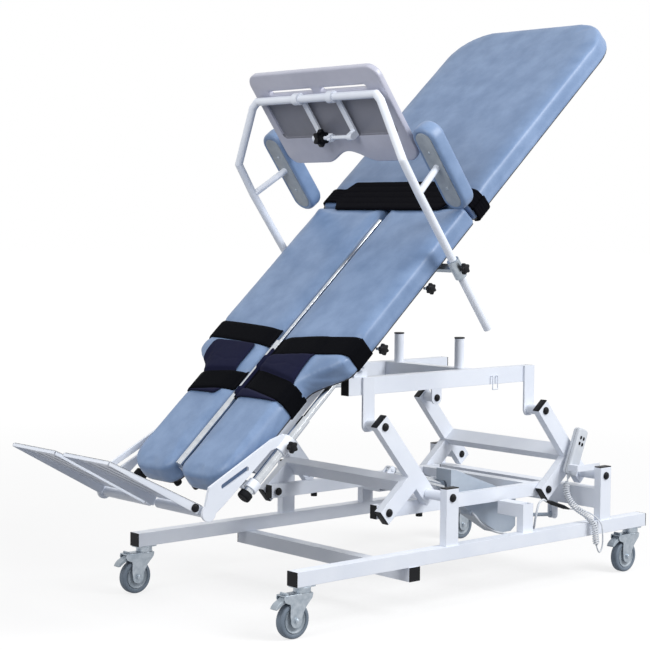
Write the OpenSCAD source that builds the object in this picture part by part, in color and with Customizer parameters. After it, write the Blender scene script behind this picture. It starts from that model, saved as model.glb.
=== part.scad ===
// Physiotherapy tilt table: a wheeled base, a parallelogram lift, and a padded table that tilts on it.
// Millimetres. X runs from the feet to the head, Y from the left side of the table to the right, Z is up.
// The origin is on the floor, on the middle plane, under the middle of the table's length.

/* [Base] */
// Length of the two floor rails
rail_length = 1471; // [1350:1:1600]
// Side of the square rail tube
rail_size = 40; // [34:1:46]
// Wall of the steel tubes
tube_wall = 2; // [1.5:0.1:3]
// Distance between the outer faces of the rails
base_width = 762; // [740:1:800]
// Height of the underside of the rails above the floor
rail_z = 140; // [136:1:160]
// Distance of the rails' foot end from the origin
foot_reach = 484; // [440:1:520]
// Distance of the front cross tube from the rails' foot end
cross_tube_at = 430; // [380:1:480]
// Distance of the front posts from the rails' foot end
front_post_at = 589; // [580:1:620]
// Size of a post along the rail
post_depth = 50; // [44:1:60]
// Size of a post across the table
post_width = 25; // [20:1:30]
// Height of the post tops
post_top = 345; // [342:1:370]
// Distance of the bridge from the rails' foot end
bridge_at = 925; // [910:1:940]
// Size of the bridge tubes along the table
bridge_depth = 45; // [40:1:50]
// Height of the top of the bridge tube
bridge_top = 265; // [255:1:268]
// Height of the bridge cross tube
bridge_height = 40; // [30:1:45]
// Height of the rear beam's section
beam_height = 60; // [50:1:66]
// Height of the underside of the rear beam
beam_z = 217; // [205:1:222]

/* [Lift] */
// Height of the lower crank pivots
pivot_z = 319; // [316:1:330]
// Distance between the front and the rear crank
crank_spacing = 686; // [660:1:700]
// Distance from the lower to the upper pivot of a crank
crank_radius = 271; // [262:1:280]
// Angle of the cranks above the line towards the head
crank_angle = 130; // [126:1:134]
// Width of a crank tube across the table
crank_width = 25; // [20:1:27]
// Depth of a crank tube in its plane
crank_depth = 50; // [44:1:54]
// Distance of a crank's outer face from the middle plane
crank_outer = 275; // [270:1:280]
// Distance of the short arm from the lower pivot
arm_foot = 69; // [66:1:76]
// Distance from the crank's centre line to the arm's pivot
arm_length = 145; // [135:1:150]
// Width of a link bar across the table
link_width = 25; // [20:1:28]
// Height of a link bar
link_height = 40; // [34:1:46]
// Radius of a pivot bolt's shank
bolt_r = 6; // [5:0.5:8]
// Radius of a domed bolt head
dome_r = 12; // [10:0.5:14]
// Height of a domed bolt head
dome_height = 8; // [6:0.5:10]

/* [Upper frame] */
// Length of the two upper tubes
upper_length = 776; // [760:1:800]
// Distance of the upper tubes' foot end from the rails' foot end
upper_from = 342; // [335:1:350]
// Height of the underside of the upper tubes
upper_z = 613; // [608:1:618]
// Height of an upper tube
upper_height = 50; // [46:1:54]
// Width of an upper tube
upper_width = 30; // [26:1:34]
// Distance of an upper tube's outer face from the middle plane
upper_outer = 200; // [196:1:206]
// Thickness of the drop brackets
bracket_wall = 6; // [5:0.5:8]
// Width of the drop brackets
bracket_width = 45; // [40:1:50]
// Distance of the upper cross member from the rails' foot end
member_at = 860; // [850:1:880]
// Radius of the table rest posts
rest_post_r = 15; // [12:0.5:17]
// Distance of the rest posts from the middle plane
rest_post_y = 133; // [110:1:140]

/* [Table] */
// Distance of the tilt axis from the rails' foot end
tilt_at = 400; // [390:1:410]
// Height of the tilt axis
tilt_z = 700; // [696:1:704]
// Angle of the table above level, as built
rest_tilt = 41.9; // [38:0.1:45]
// Width of the table
table_width = 650; // [640:1:680]
// Distance of the table's head end from the tilt axis
head_reach = 1403; // [1340:1:1440]
// Distance of the leg pads' foot end from the tilt axis
leg_reach = 590; // [580:1:596]
// Distance of the joint between main pad and leg pads from the tilt axis
split_at = 518; // [505:1:530]
// Thickness of the pads
pad_thickness = 50; // [44:1:56]
// Thickness of the boards under the pads
board_thickness = 15; // [12:1:18]
// Distance of the board's underside from the tilt axis
board_level = 88; // [86:1:90]
// Side of the square table frame tube
frame_size = 30; // [26:1:32]
// Radius of the head end corners
corner_r = 140; // [100:1:160]
// Outer edge of the narrow part of a leg pad, from the middle plane
leg_outer = 217; // [205:1:222]
// Crown of the pads
pad_crown = 4; // [2:0.5:8]
// Distance of the side tubes from the middle plane
side_tube_y = 240; // [234:1:246]
// Radius of the thin part of the side tubes
side_tube_r = 11; // [9:0.5:12]
// Radius of the thick part of the side tubes
slide_tube_r = 14; // [13:0.5:15]

/* [Footrest] */
// Distance of the foot plate hinge from the tilt axis, towards the feet
plate_hinge_s = 680; // [670:1:700]
// Height of the foot plate hinge over the tilt axis, square to the table
plate_hinge_n = 127; // [122:1:132]
// Length of a foot plate
plate_length = 345; // [300:1:360]
// Width of a foot plate
plate_width = 208; // [190:1:209]
// Thickness of a foot plate
plate_thickness = 28; // [20:1:32]
// Angle between a foot plate and the table
plate_angle = 112; // [108:1:116]
// Radius of the foot plate hinge rod
hinge_rod_r = 8; // [6:0.5:10]

/* [Tray] */
// Distance of the tray frame's legs from the middle plane
tray_leg_y = 365; // [360:1:375]
// Radius of the tray frame tube
tray_tube_r = 12; // [10:0.5:13]
// Width of the tray
tray_width = 566; // [520:1:600]
// Length of the tray
tray_length = 320; // [300:1:330]
// Thickness of the tray
tray_thickness = 20; // [16:1:26]
// Length of an arm pad
arm_pad_length = 285; // [260:1:300]
// Width of an arm pad
arm_pad_width = 88; // [80:1:90]
// Thickness of an arm pad
arm_pad_thickness = 46; // [36:1:50]

/* [Castors] */
// Radius of the castor wheels
wheel_r = 50; // [46:1:52]
// Width of the castor wheels
wheel_width = 26; // [22:1:28]
// Distance of a wheel's axle behind its swivel axis
castor_trail = 33; // [28:1:36]
// Distance of the front swivel axes from the rails' foot end
castor_inset = 33; // [31:1:60]
// Distance of the rear swivel axes from the rails' head end
castor_inset_head = 51; // [31:1:70]

/* [Handset] */
// Length of the handset
handset_length = 152; // [140:1:165]
// Width of the handset
handset_width = 45; // [40:1:50]
// Thickness of the handset
handset_thickness = 26; // [22:1:28]
// Outer radius of the curls of the handset cord
curl_outer_r = 8; // [7:0.5:9]

/* [Hidden] */

// Clearances and cuts
fit = 0.05;
gap = 0.3;
cut = 1;
$fn = 48;

// Colours
white_paint = [0.93, 0.94, 0.96];
black_plastic = [0.1, 0.1, 0.12];
vinyl_blue = [0.52, 0.63, 0.78];
navy_cloth = [0.13, 0.14, 0.24];
chrome_grey = [0.78, 0.8, 0.83];
castor_grey = [0.55, 0.6, 0.66];
motor_blue = [0.62, 0.69, 0.77];
cord_grey = [0.78, 0.8, 0.83];
tray_grey = [0.67, 0.68, 0.73];
strap_black = [0.05, 0.05, 0.06];

// Places along the table, measured from the origin
function from_foot(distance) = distance - foot_reach;
rail_y = base_width / 2 - rail_size / 2;
rail_top = rail_z + rail_size;
front_pivot = [from_foot(front_post_at), pivot_z];
rear_pivot = [from_foot(front_post_at + crank_spacing), pivot_z];
tilt_pivot = [from_foot(tilt_at), tilt_z];
post_inset = 5;
post_inner = base_width / 2 - post_inset - post_width;
cap_wall = 3;
plug_depth = 7;
cross_over = 3;
bracket_reach = 79;

// Directions in the plane of the cranks
function turned(point, angle) =
  [point[0] * cos(angle) - point[1] * sin(angle), point[0] * sin(angle) + point[1] * cos(angle)];
function plus(a, b) = [a[0] + b[0], a[1] + b[1]];

module at_pivot(p) {
  translate([p[0], 0, p[1]]) children();
}

module both_sides() {
  children();
  mirror([0, 1, 0]) children();
}

// Turns children by an angle in the XZ plane, from the head end upwards
module pitched(angle) {
  rotate([0, -angle, 0]) children();
}

// Turns an upright outline into a plate that is centred on the XZ plane
module plate(thickness) {
  rotate([90, 0, 0]) linear_extrude(thickness, center = true) children();
}

// Cylinder along Y
module rod_y(r, from, to) {
  translate([0, from, 0]) rotate([-90, 0, 0]) cylinder(r = r, h = to - from);
}

// Hollow square tube, centred, open at both ends
module box_tube(size, along) {
  inner = [for (i = [0:2]) i == along ? size[i] + 2 * cut : size[i] - 2 * tube_wall];
  difference() {
    cube(size, center = true);
    cube(inner, center = true);
  }
}

// Plastic cap with its plug, facing +X, for a tube of this width and height
module end_cap(width, height) {
  plug_width = width - 2 * tube_wall - 2 * fit;
  plug_height = height - 2 * tube_wall - 2 * fit;
  translate([0, -width / 2, -height / 2]) cube([cap_wall, width, height]);
  translate([-plug_depth, -plug_width / 2, -plug_height / 2])
    cube([plug_depth + cut, plug_width, plug_height]);
}

// Domed head, flat side down
module dome(r, h) {
  ball_r = (r * r + h * h) / (2 * h);
  intersection() {
    translate([0, 0, h - ball_r]) sphere(r = ball_r);
    cylinder(r = r + cut, h = h + cut);
  }
}

// Bolt along Y with a domed head at each end
module domed_bolt(r, from, to) {
  rod_y(r, from, to);
  translate([0, to, 0]) rotate([-90, 0, 0]) dome(dome_r, dome_height);
  translate([0, from, 0]) rotate([90, 0, 0]) dome(dome_r, dome_height);
}

// Outline of a rectangle with round corners
module round_rect(size, r) {
  corner_x = size[0] / 2 - r;
  corner_y = size[1] / 2 - r;
  square([size[0], 2 * corner_y], center = true);
  square([2 * corner_x, size[1]], center = true);
  for (x = [-corner_x, corner_x], y = [-corner_y, corner_y]) translate([x, y]) circle(r = r);
}

// Bar outline between two points with round ends
module link_outline(a, b, r) {
  along = b - a;
  length = norm(along);
  translate(a) rotate(atan2(along[1], along[0])) {
    circle(r = r);
    translate([length, 0]) circle(r = r);
    translate([0, -r]) square([length, 2 * r]);
  }
}

// Base frame

module base_rails() {
  color(white_paint) both_sides() translate([from_foot(rail_length / 2), rail_y, rail_z + rail_size / 2])
    box_tube([rail_length, rail_size, rail_size], 0);
}

actuator_y = -160;
rear_lug_drop = 49;
rear_lug_r = 12;
lug_wall = 5;
lug_opening = 12.6;
actuator_hinge = [rear_pivot[0], beam_z - rear_lug_drop];
hinge_pin_r = 5;

module base_cross_members() {
  lug_y = lug_opening / 2 + lug_wall / 2;
  color(white_paint) {
    translate([from_foot(cross_tube_at), 0, rail_z - rail_size / 2])
      box_tube([rail_size, base_width + 2 * cross_over, rail_size], 1);
    translate([rear_pivot[0], 0, beam_z + beam_height / 2])
      box_tube([post_depth, 2 * post_inner, beam_height], 1);
    translate([0, actuator_y, 0]) for (side = [-1, 1]) translate([0, side * lug_y, 0]) plate(lug_wall)
      translate(actuator_hinge) union() {
        circle(r = rear_lug_r);
        translate([-rear_lug_r, 0]) square([2 * rear_lug_r, rear_lug_drop]);
      }
    translate([actuator_hinge[0], actuator_y, actuator_hinge[1]])
      rod_y(hinge_pin_r, -lug_y - lug_wall, lug_y + lug_wall);
  }
}

middle_post_inner = base_width / 2 - rail_size;
holder_strip = 3;
holder_height = 20;
holder_reach = 108;
holder_lift = 18;

module base_posts() {
  color(white_paint) {
    both_sides() for (pivot = [front_pivot, rear_pivot]) difference() {
      translate([pivot[0], post_inner + post_width / 2, (rail_top + post_top) / 2])
        box_tube([post_depth, post_width, post_top - rail_top], 2);
      at_pivot(pivot) rod_y(bolt_r + fit, post_inner - cut, post_inner + post_width + cut);
    }
    both_sides() {
      translate([from_foot(bridge_at), middle_post_inner + post_width / 2, (rail_top + bridge_top) / 2])
        box_tube([bridge_depth, post_width, bridge_top - rail_top], 2);
      translate([from_foot(bridge_at), middle_post_inner - bracket_reach / 2,
        bridge_top - bridge_height / 2])
        box_tube([bridge_depth, bracket_reach, bridge_height], 1);
    }
    // Strip and block that hold the handset
    translate([rear_pivot[0] - holder_reach, -post_inner, pivot_z + holder_lift])
      cube([holder_reach, holder_strip, holder_height]);
    translate([rear_pivot[0] - holder_reach, -post_inner + holder_strip, pivot_z + holder_lift])
      cube([holder_height, handset_near - holder_strip - gap, holder_height]);
  }
}

module base_caps() {
  rail_mid = rail_z + rail_size / 2;
  tube_mid = rail_z - rail_size / 2;
  color(black_plastic) both_sides() {
    translate([from_foot(rail_length), rail_y, rail_mid]) end_cap(rail_size, rail_size);
    translate([from_foot(0), rail_y, rail_mid]) rotate([0, 0, 180]) end_cap(rail_size, rail_size);
    translate([from_foot(cross_tube_at), base_width / 2 + cross_over, tube_mid])
      rotate([0, 0, 90]) end_cap(rail_size, rail_size);
    for (pivot = [front_pivot, rear_pivot])
      translate([pivot[0], post_inner + post_width / 2, post_top]) rotate([0, -90, 0])
        end_cap(post_width, post_depth);
  }
}

sleeve_r = 15;
flat_head = 2;

// Each bolt carries the spacer sleeve between the post and the crank
module lift_pivot_bolts() {
  color(black_plastic) both_sides() for (pivot = [front_pivot, rear_pivot]) at_pivot(pivot) {
    rod_y(bolt_r, crank_inner - gap, base_width / 2 - post_inset);
    rod_y(dome_r, crank_inner - gap - flat_head, crank_inner - gap);
    translate([0, base_width / 2 - post_inset, 0]) rotate([-90, 0, 0]) dome(dome_r, dome_height);
    rod_y(sleeve_r, crank_outer + gap, post_inner);
  }
}

// Castors

swivel_x = [castor_inset, rail_length - castor_inset_head];
castor_plate_size = 62;
castor_plate_wall = 4;
race_r = 24;
race_height = 13;
crown_wall = 5;
kingpin_r = 5;
kingpin_head_r = 9;
kingpin_head = 4;
crown_top = rail_z - castor_plate_wall - race_height - gap;
crown_underside = crown_top - crown_wall;
fork_wall = 3;
fork_play = 2;
fork_inner = wheel_width / 2 + fork_play;
fork_outer = fork_inner + fork_wall;
axle_r = 4;
axle_nut_r = 8;
axle_nut = 5;
axle_web_share = 1.4;
pedal_pin_back = 22;
pedal_pin_drop = 9;
pedal_pin_r = 2.5;
pedal_pin = [-castor_trail - pedal_pin_back, crown_underside - pedal_pin_drop];
pedal_barrel_r = 5;
pedal_length = 46;
pedal_wall = 5;
pedal_drop = 14;
pedal_width = 24;
pedal_bend_share = 0.45;
tread_round = 6;

module castor_plates() {
  color(castor_grey) both_sides() for (x = swivel_x) translate([from_foot(x), rail_y, rail_z]) {
    translate([0, 0, -castor_plate_wall / 2])
      cube([castor_plate_size, rail_size, castor_plate_wall], center = true);
    translate([0, 0, -castor_plate_wall - race_height]) cylinder(r = race_r, h = race_height + cut);
    translate([0, 0, -castor_plate_wall - race_height - crown_wall - 2 * gap - kingpin_head]) {
      cylinder(r = kingpin_head_r, h = kingpin_head);
      cylinder(r = kingpin_r, h = race_height + crown_wall + 2 * gap + kingpin_head);
    }
  }
}

module at_castor(end, side) {
  translate([from_foot(swivel_x[end]), side * rail_y, 0]) children();
}

module castor_fork() {
  crown_back = castor_trail + 3 * axle_nut_r;
  web = axle_nut_r * axle_web_share;
  axle = [-castor_trail, wheel_r];
  throat = race_r + fork_wall;
  color(castor_grey) {
    difference() {
      translate([-crown_back, -fork_outer, crown_underside])
        cube([crown_back + throat, 2 * fork_outer, crown_wall]);
      translate([0, 0, crown_underside - cut]) cylinder(r = kingpin_r + fit, h = crown_wall + 2 * cut);
    }
    for (side = [-1, 1]) translate([0, side * (fork_inner + fork_wall / 2), 0]) {
      plate(fork_wall) polygon([
        [-crown_back, crown_underside + cut], [throat, crown_underside + cut],
        [throat, crown_underside - pedal_barrel_r], axle + [web, -axle_nut_r],
        axle + [-web, -axle_nut_r], [-crown_back, crown_underside - 2 * axle_nut_r]]);
      translate([axle[0], 0, axle[1]]) rod_y(web, -fork_wall / 2, fork_wall / 2);
    }
    translate([axle[0], 0, axle[1]]) {
      rod_y(axle_r, -fork_outer - cut, fork_outer + cut);
      for (side = [0, 1]) mirror([0, side, 0]) rod_y(axle_nut_r, fork_outer, fork_outer + axle_nut);
    }
    translate([pedal_pin[0], 0, pedal_pin[1]]) rod_y(pedal_pin_r, -fork_inner - cut, fork_inner + cut);
  }
}

rim_share = 0.74;
hub_share = 0.34;
dish_share = 0.35;

module castor_wheel() {
  half = wheel_width / 2;
  rim_r = wheel_r * rim_share;
  hub_r = wheel_r * hub_share;
  dish = half * dish_share;
  color(castor_grey) translate([-castor_trail, 0, wheel_r]) rotate([90, 0, 0]) rotate_extrude($fn = 72)
    polygon([
      [axle_r + fit, -half], [hub_r, -half], [hub_r, -half + dish], [rim_r, -half + dish],
      [rim_r, -half + tread_round / 2], [wheel_r - tread_round, -half], [wheel_r, -half + tread_round],
      [wheel_r, half - tread_round], [wheel_r - tread_round, half], [rim_r, half - tread_round / 2],
      [rim_r, half - dish], [hub_r, half - dish], [hub_r, half], [axle_r + fit, half]]);
}

module brake_pedal() {
  color(castor_grey) translate([pedal_pin[0], 0, pedal_pin[1]]) difference() {
    union() {
      rod_y(pedal_barrel_r, -pedal_width / 2, pedal_width / 2);
      plate(pedal_width) polygon([
        [0, pedal_barrel_r], [-pedal_length * pedal_bend_share, pedal_wall],
        [-pedal_length, pedal_barrel_r - pedal_drop], [-pedal_length, -pedal_drop],
        [-pedal_length * pedal_bend_share, 0], [0, 0]]);
    }
    rod_y(pedal_pin_r + fit, -pedal_width, pedal_width);
  }
}
module castor_fork_foot_left() { at_castor(0, -1) castor_fork(); }
module castor_fork_foot_right() { at_castor(0, 1) castor_fork(); }
module castor_fork_head_left() { at_castor(1, -1) castor_fork(); }
module castor_fork_head_right() { at_castor(1, 1) castor_fork(); }
module castor_wheel_foot_left() { at_castor(0, -1) castor_wheel(); }
module castor_wheel_foot_right() { at_castor(0, 1) castor_wheel(); }
module castor_wheel_head_left() { at_castor(1, -1) castor_wheel(); }
module castor_wheel_head_right() { at_castor(1, 1) castor_wheel(); }
module brake_pedal_foot_left() { at_castor(0, -1) brake_pedal(); }
module brake_pedal_foot_right() { at_castor(0, 1) brake_pedal(); }
module brake_pedal_head_left() { at_castor(1, -1) brake_pedal(); }
module brake_pedal_head_right() { at_castor(1, 1) brake_pedal(); }

// Lift linkage

crank_y = crank_outer - crank_width / 2;
crank_inner = crank_outer - crank_width;
crank_over_top = 20;
crank_over_foot = 25;
arm_over = 22;
bush_r = 12;
washer = 3;
link_outer = crank_inner - washer;
link_y = link_outer - link_width / 2;
link_inner = link_outer - link_width;
arm_pivot = turned([arm_foot, arm_length], crank_angle);
top_pivot = turned([crank_radius, 0], crank_angle);
upper_pivot_y = upper_outer + bracket_wall;
front_bar = [crank_depth, 2 * crank_inner, crank_width];
front_bar_v = 35;
rear_bar = [crank_width, 2 * crank_inner, crank_depth];
rear_bar_u = 85;
actuator_arm = 75;
actuator_arm_angle = 125;
actuator_eye = turned([actuator_arm, 0], actuator_arm_angle);
eye_r = 11;

// In a crank's own coordinates, X follows the long tube from the lower pivot and Z the short arm
module crank_side() {
  tube_length = crank_radius + crank_over_top + crank_over_foot;
  arm_end = arm_length + arm_over;
  bores = [[0, 0], [crank_radius, 0], [arm_foot, arm_length]];
  difference() {
    union() {
      translate([tube_length / 2 - crank_over_foot, crank_y, 0])
        box_tube([tube_length, crank_width, crank_depth], 0);
      translate([arm_foot, crank_y, (crank_depth / 2 + arm_end) / 2])
        box_tube([crank_depth, crank_width, arm_end - crank_depth / 2], 2);
      for (p = bores) at_pivot(p) rod_y(bush_r, crank_inner, crank_outer);
    }
    for (p = bores) at_pivot(p) rod_y(bolt_r + fit, crank_inner - cut, crank_outer + cut);
  }
}

module front_crank() {
  eye = turned(actuator_eye, -crank_angle);
  lug_y = lug_opening / 2 + lug_wall / 2;
  lug_root = front_bar_v - crank_width / 2;
  color(white_paint) at_pivot(front_pivot) pitched(crank_angle) {
    both_sides() crank_side();
    translate([arm_foot, 0, front_bar_v]) box_tube(front_bar, 1);
    for (side = [-1, 1]) translate([0, actuator_y + side * lug_y, 0]) plate(lug_wall)
      link_outline(eye, [eye[0], lug_root], eye_r);
    translate([eye[0], actuator_y, eye[1]]) rod_y(hinge_pin_r, -lug_y - lug_wall, lug_y + lug_wall);
  }
}

module rear_crank() {
  color(white_paint) at_pivot(rear_pivot) pitched(crank_angle) {
    both_sides() crank_side();
    translate([rear_bar_u, 0, 0]) box_tube(rear_bar, 1);
  }
}

// Black end caps and the bolts that turn with a crank
module crank_fittings() {
  pitched(crank_angle) both_sides() {
    translate([crank_radius + crank_over_top, crank_y, 0]) end_cap(crank_width, crank_depth);
    translate([arm_foot, crank_y, arm_length + arm_over]) rotate([0, -90, 0])
      end_cap(crank_width, crank_depth);
    translate([crank_radius, 0, 0]) {
      domed_bolt(bolt_r, upper_outer - gap, crank_outer);
      rod_y(sleeve_r, upper_pivot_y + gap, crank_inner);
    }
    translate([arm_foot, 0, arm_length]) {
      domed_bolt(bolt_r, link_inner - gap, crank_outer);
      rod_y(sleeve_r, link_outer + gap, crank_inner);
    }
  }
}

module front_crank_fittings() {
  color(black_plastic) at_pivot(front_pivot) crank_fittings();
}

module rear_crank_fittings() {
  color(black_plastic) at_pivot(rear_pivot) crank_fittings();
}

link_start = front_pivot[0] + arm_pivot[0] - arm_over;
link_end = rear_pivot[0] + arm_pivot[0] + arm_over;
link_z = pivot_z + arm_pivot[1];
link_bar_depth = 40;
link_bar_height = 26;
link_bar_inset = 38;
buffer_r = 10;
buffer_height = 12;
buffer_at = 594;

module link_frame() {
  color(white_paint) {
    difference() {
      union() both_sides() {
        translate([(link_start + link_end) / 2, link_y, link_z])
          box_tube([link_end - link_start, link_width, link_height], 0);
        for (x = [front_pivot[0], rear_pivot[0]])
          translate([x + arm_pivot[0], 0, link_z]) rod_y(bush_r, link_inner, link_outer);
      }
      both_sides() for (x = [front_pivot[0], rear_pivot[0]])
        translate([x + arm_pivot[0], 0, link_z]) rod_y(bolt_r + fit, link_inner - cut, link_outer + cut);
    }
    translate([link_end - link_bar_depth / 2 - link_bar_inset, 0,
      link_z + link_height / 2 - link_bar_height / 2])
      box_tube([link_bar_depth, 2 * link_inner, link_bar_height], 1);
  }
}

module link_frame_caps() {
  color(black_plastic) both_sides() {
    translate([link_start, link_y, link_z]) rotate([0, 0, 180]) end_cap(link_width, link_height);
    translate([link_end, link_y, link_z]) end_cap(link_width, link_height);
    translate([from_foot(buffer_at), link_y, link_z - link_height / 2 - buffer_height])
      cylinder(r = buffer_r, h = buffer_height);
  }
}

// Lift actuator: a housing hinged under the rear beam, and a rod that is hinged on the front crank

actuator_eye_at = plus(front_pivot, actuator_eye);
actuator_line = actuator_eye_at - actuator_hinge;
actuator_angle = atan2(actuator_line[1], actuator_line[0]);
housing_width = 62;
housing_length = 291;
housing_height = 217;
housing_from_hinge = 213;
housing_below_hinge = 23;
housing_shares = [[0, 0.73], [0, 1], [0.07, 0.99], [0.67, 0.69], [1, 0.5], [1, 0.07], [0.93, 0], [0.74, 0],
  [0.27, 0.37]];
tail_r = 6;
tail_share = 0.2;
lift_rod_r = 10;
lift_neck_r = 6;
lift_neck_length = 16;
lift_rod_cover = 95;
lift_rod_play = 3.5;
lift_rod_offset = 2.2;
lift_bore_depth = 150;
motor_r = 24;
motor_length = 90;
motor_shares = [0.72, 0.28];
eye_width = 12;
cable_gland_at = [371, 222];
cable_gland_r = 8;
cable_gland_length = 8;

module lift_actuator_housing() {
  low = [actuator_hinge[0] - housing_from_hinge - housing_length, actuator_hinge[1] - housing_below_hinge];
  tail_end = low + [housing_length, housing_height * tail_share];
  tail = tail_end - actuator_hinge;
  motor_at = low + [housing_length * motor_shares[0], housing_height * motor_shares[1]];
  color(motor_blue) translate([0, actuator_y, 0]) difference() {
    union() {
      plate(housing_width)
        polygon([for (s = housing_shares) low + [s[0] * housing_length, s[1] * housing_height]]);
      at_pivot(actuator_hinge) {
        pitched(atan2(tail[1], tail[0])) translate([eye_r / 2, 0, 0]) rotate([0, 90, 0])
          cylinder(r = tail_r, h = norm(tail));
        rod_y(eye_r, -eye_width / 2, eye_width / 2);
      }
      at_pivot(cable_gland_at) rod_y(cable_gland_r, -housing_width / 2 - cable_gland_length, 0);
    }
    at_pivot(actuator_hinge) rod_y(hinge_pin_r + fit, -eye_width, eye_width);
    at_pivot(actuator_eye_at) pitched(actuator_angle) translate([0, 0, lift_rod_offset]) rotate([0, -90, 0])
      cylinder(r = lift_rod_r + lift_rod_play, h = lift_bore_reach());
    at_pivot(motor_at) rotate([0, 90, 0]) cylinder(r = motor_r + gap, h = motor_length + 2 * gap,
      center = true);
  }
}

// From the rod's eye to the bottom of the housing's bore
function lift_bore_reach() =
  (actuator_hinge[0] - housing_from_hinge - housing_length - actuator_eye_at[0]) / -cos(actuator_angle) + lift_bore_depth;

module lift_actuator_motor() {
  low = [actuator_hinge[0] - housing_from_hinge - housing_length, actuator_hinge[1] - housing_below_hinge];
  motor_at = low + [housing_length * motor_shares[0], housing_height * motor_shares[1]];
  color(castor_grey) translate([0, actuator_y, 0]) at_pivot(motor_at) rotate([0, 90, 0])
    cylinder(r = motor_r, h = motor_length, center = true);
}

module lift_actuator_rod() {
  rod_length = lift_bore_reach() - lift_bore_depth + lift_rod_cover;
  color(chrome_grey) translate([0, actuator_y, 0]) at_pivot(actuator_eye_at) difference() {
    union() {
      rod_y(eye_r, -eye_width / 2, eye_width / 2);
      pitched(actuator_angle) rotate([0, -90, 0]) {
        cylinder(r = lift_neck_r, h = lift_neck_length + cut);
        translate([0, 0, lift_neck_length])
          cylinder(r = lift_rod_r, h = rod_length - lift_neck_length);
      }
    }
    rod_y(hinge_pin_r + fit, -eye_width, eye_width);
  }
}

// Upper frame

upper_mid_z = upper_z + upper_height / 2;
upper_y = upper_outer - upper_width / 2;
upper_inner = upper_outer - upper_width;
member_depth = 45;
rest_post_top = 756;
front_bracket_x = front_pivot[0] + top_pivot[0];
rear_bracket_x = rear_pivot[0] + top_pivot[0];
bracket_pivot_z = pivot_z + top_pivot[1];
bracket_over = 20;
tilt_lug_r = 17;
tilt_lug_wall = 8;
tilt_lug_y = 182;
tilt_lug_root = 26;
tilt_pin_r = 8;
hook_r = 2;
hook_at = 942;
hook_drop = 40;
hook_span = 22;
hook_stand = 8;

module upper_frame() {
  upper_end = from_foot(upper_from) + upper_length;
  color(white_paint) {
    both_sides() {
      translate([from_foot(upper_from) + upper_length / 2, upper_y, upper_mid_z])
        box_tube([upper_length, upper_width, upper_height], 0);
      for (x = [front_bracket_x, rear_bracket_x]) translate([0, upper_outer + bracket_wall / 2, 0])
        difference() {
          plate(bracket_wall) {
            translate([x - bracket_width / 2, bracket_pivot_z])
              square([bracket_width, upper_z + upper_height - bracket_pivot_z]);
            translate([x, bracket_pivot_z]) intersection() {
              circle(r = bracket_width / 2);
              square([bracket_width, 2 * bracket_over], center = true);
            }
          }
          translate([x, 0, bracket_pivot_z]) rod_y(bolt_r + fit, -bracket_wall, bracket_wall);
        }
      translate([0, tilt_lug_y, 0]) plate(tilt_lug_wall) union() {
        link_outline(tilt_pivot, tilt_pivot - [0, tilt_lug_r], tilt_lug_r);
        translate([tilt_pivot[0] - tilt_lug_root, upper_z + upper_height])
          square([2 * tilt_lug_root, tilt_z - upper_z - upper_height - tilt_lug_r]);
      }
      at_pivot(tilt_pivot) rod_y(tilt_pin_r, tilt_lug_y - tilt_lug_wall, tilt_pin_end);
      translate([from_foot(member_at), rest_post_y, upper_z + upper_height])
        cylinder(r = rest_post_r, h = rest_post_top - upper_z - upper_height);
    }
    translate([from_foot(member_at), 0, upper_mid_z])
      box_tube([member_depth, 2 * upper_inner, upper_height], 1);
    // Wire loop that the handset can hang from
    translate([from_foot(hook_at), -upper_outer - hook_stand, upper_mid_z]) {
      for (side = [-1, 1]) translate([side * hook_span / 2, 0, 0]) {
        rod_y(hook_r, -hook_r, hook_stand);
        translate([0, 0, -hook_drop]) cylinder(r = hook_r, h = hook_drop);
        sphere(r = hook_r);
        translate([0, 0, -hook_drop]) sphere(r = hook_r);
      }
      translate([-hook_span / 2, 0, -hook_drop]) rotate([0, 90, 0]) cylinder(r = hook_r, h = hook_span);
    }
  }
}

post_cap_over = 1;

module upper_frame_caps() {
  color(black_plastic) both_sides() {
    translate([from_foot(upper_from), upper_y, upper_mid_z]) rotate([0, 0, 180])
      end_cap(upper_width, upper_height);
    translate([from_foot(upper_from) + upper_length, upper_y, upper_mid_z])
      end_cap(upper_width, upper_height);
    translate([from_foot(member_at), rest_post_y, rest_post_top - cap_wall])
      difference() {
        cylinder(r = rest_post_r + post_cap_over + fit, h = cap_wall + post_cap_over);
        translate([0, 0, -cut]) cylinder(r = rest_post_r + fit, h = cap_wall + cut);
      }
  }
}

// Tilt actuator: a fixed body on the cross member, and a yoke rod that swings the table's lever

lever_r = 90;
lever_level = 37.5;
lever_pin_r = 6;
lever_pin_play = 2.2;
yoke_wall = 12;
yoke_height = 62;
tilt_rod_z = 622;
tilt_rod_r = 9;
tilt_body_r = 20;
tilt_body_length = 230;
tilt_rod_cover = 110;
lever_angle = rest_tilt - lever_level;
lever_pin = tilt_pivot + [lever_r * sin(lever_angle), -lever_r * cos(lever_angle)];

module tilt_actuator_body() {
  back = from_foot(member_at) - member_depth / 2;
  color(motor_blue) translate([back - tilt_body_length, 0, tilt_rod_z]) rotate([0, 90, 0]) difference() {
    cylinder(r = tilt_body_r, h = tilt_body_length);
    translate([0, 0, -cut]) cylinder(r = tilt_rod_r + fit, h = tilt_body_length - tilt_body_r);
  }
}

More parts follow.
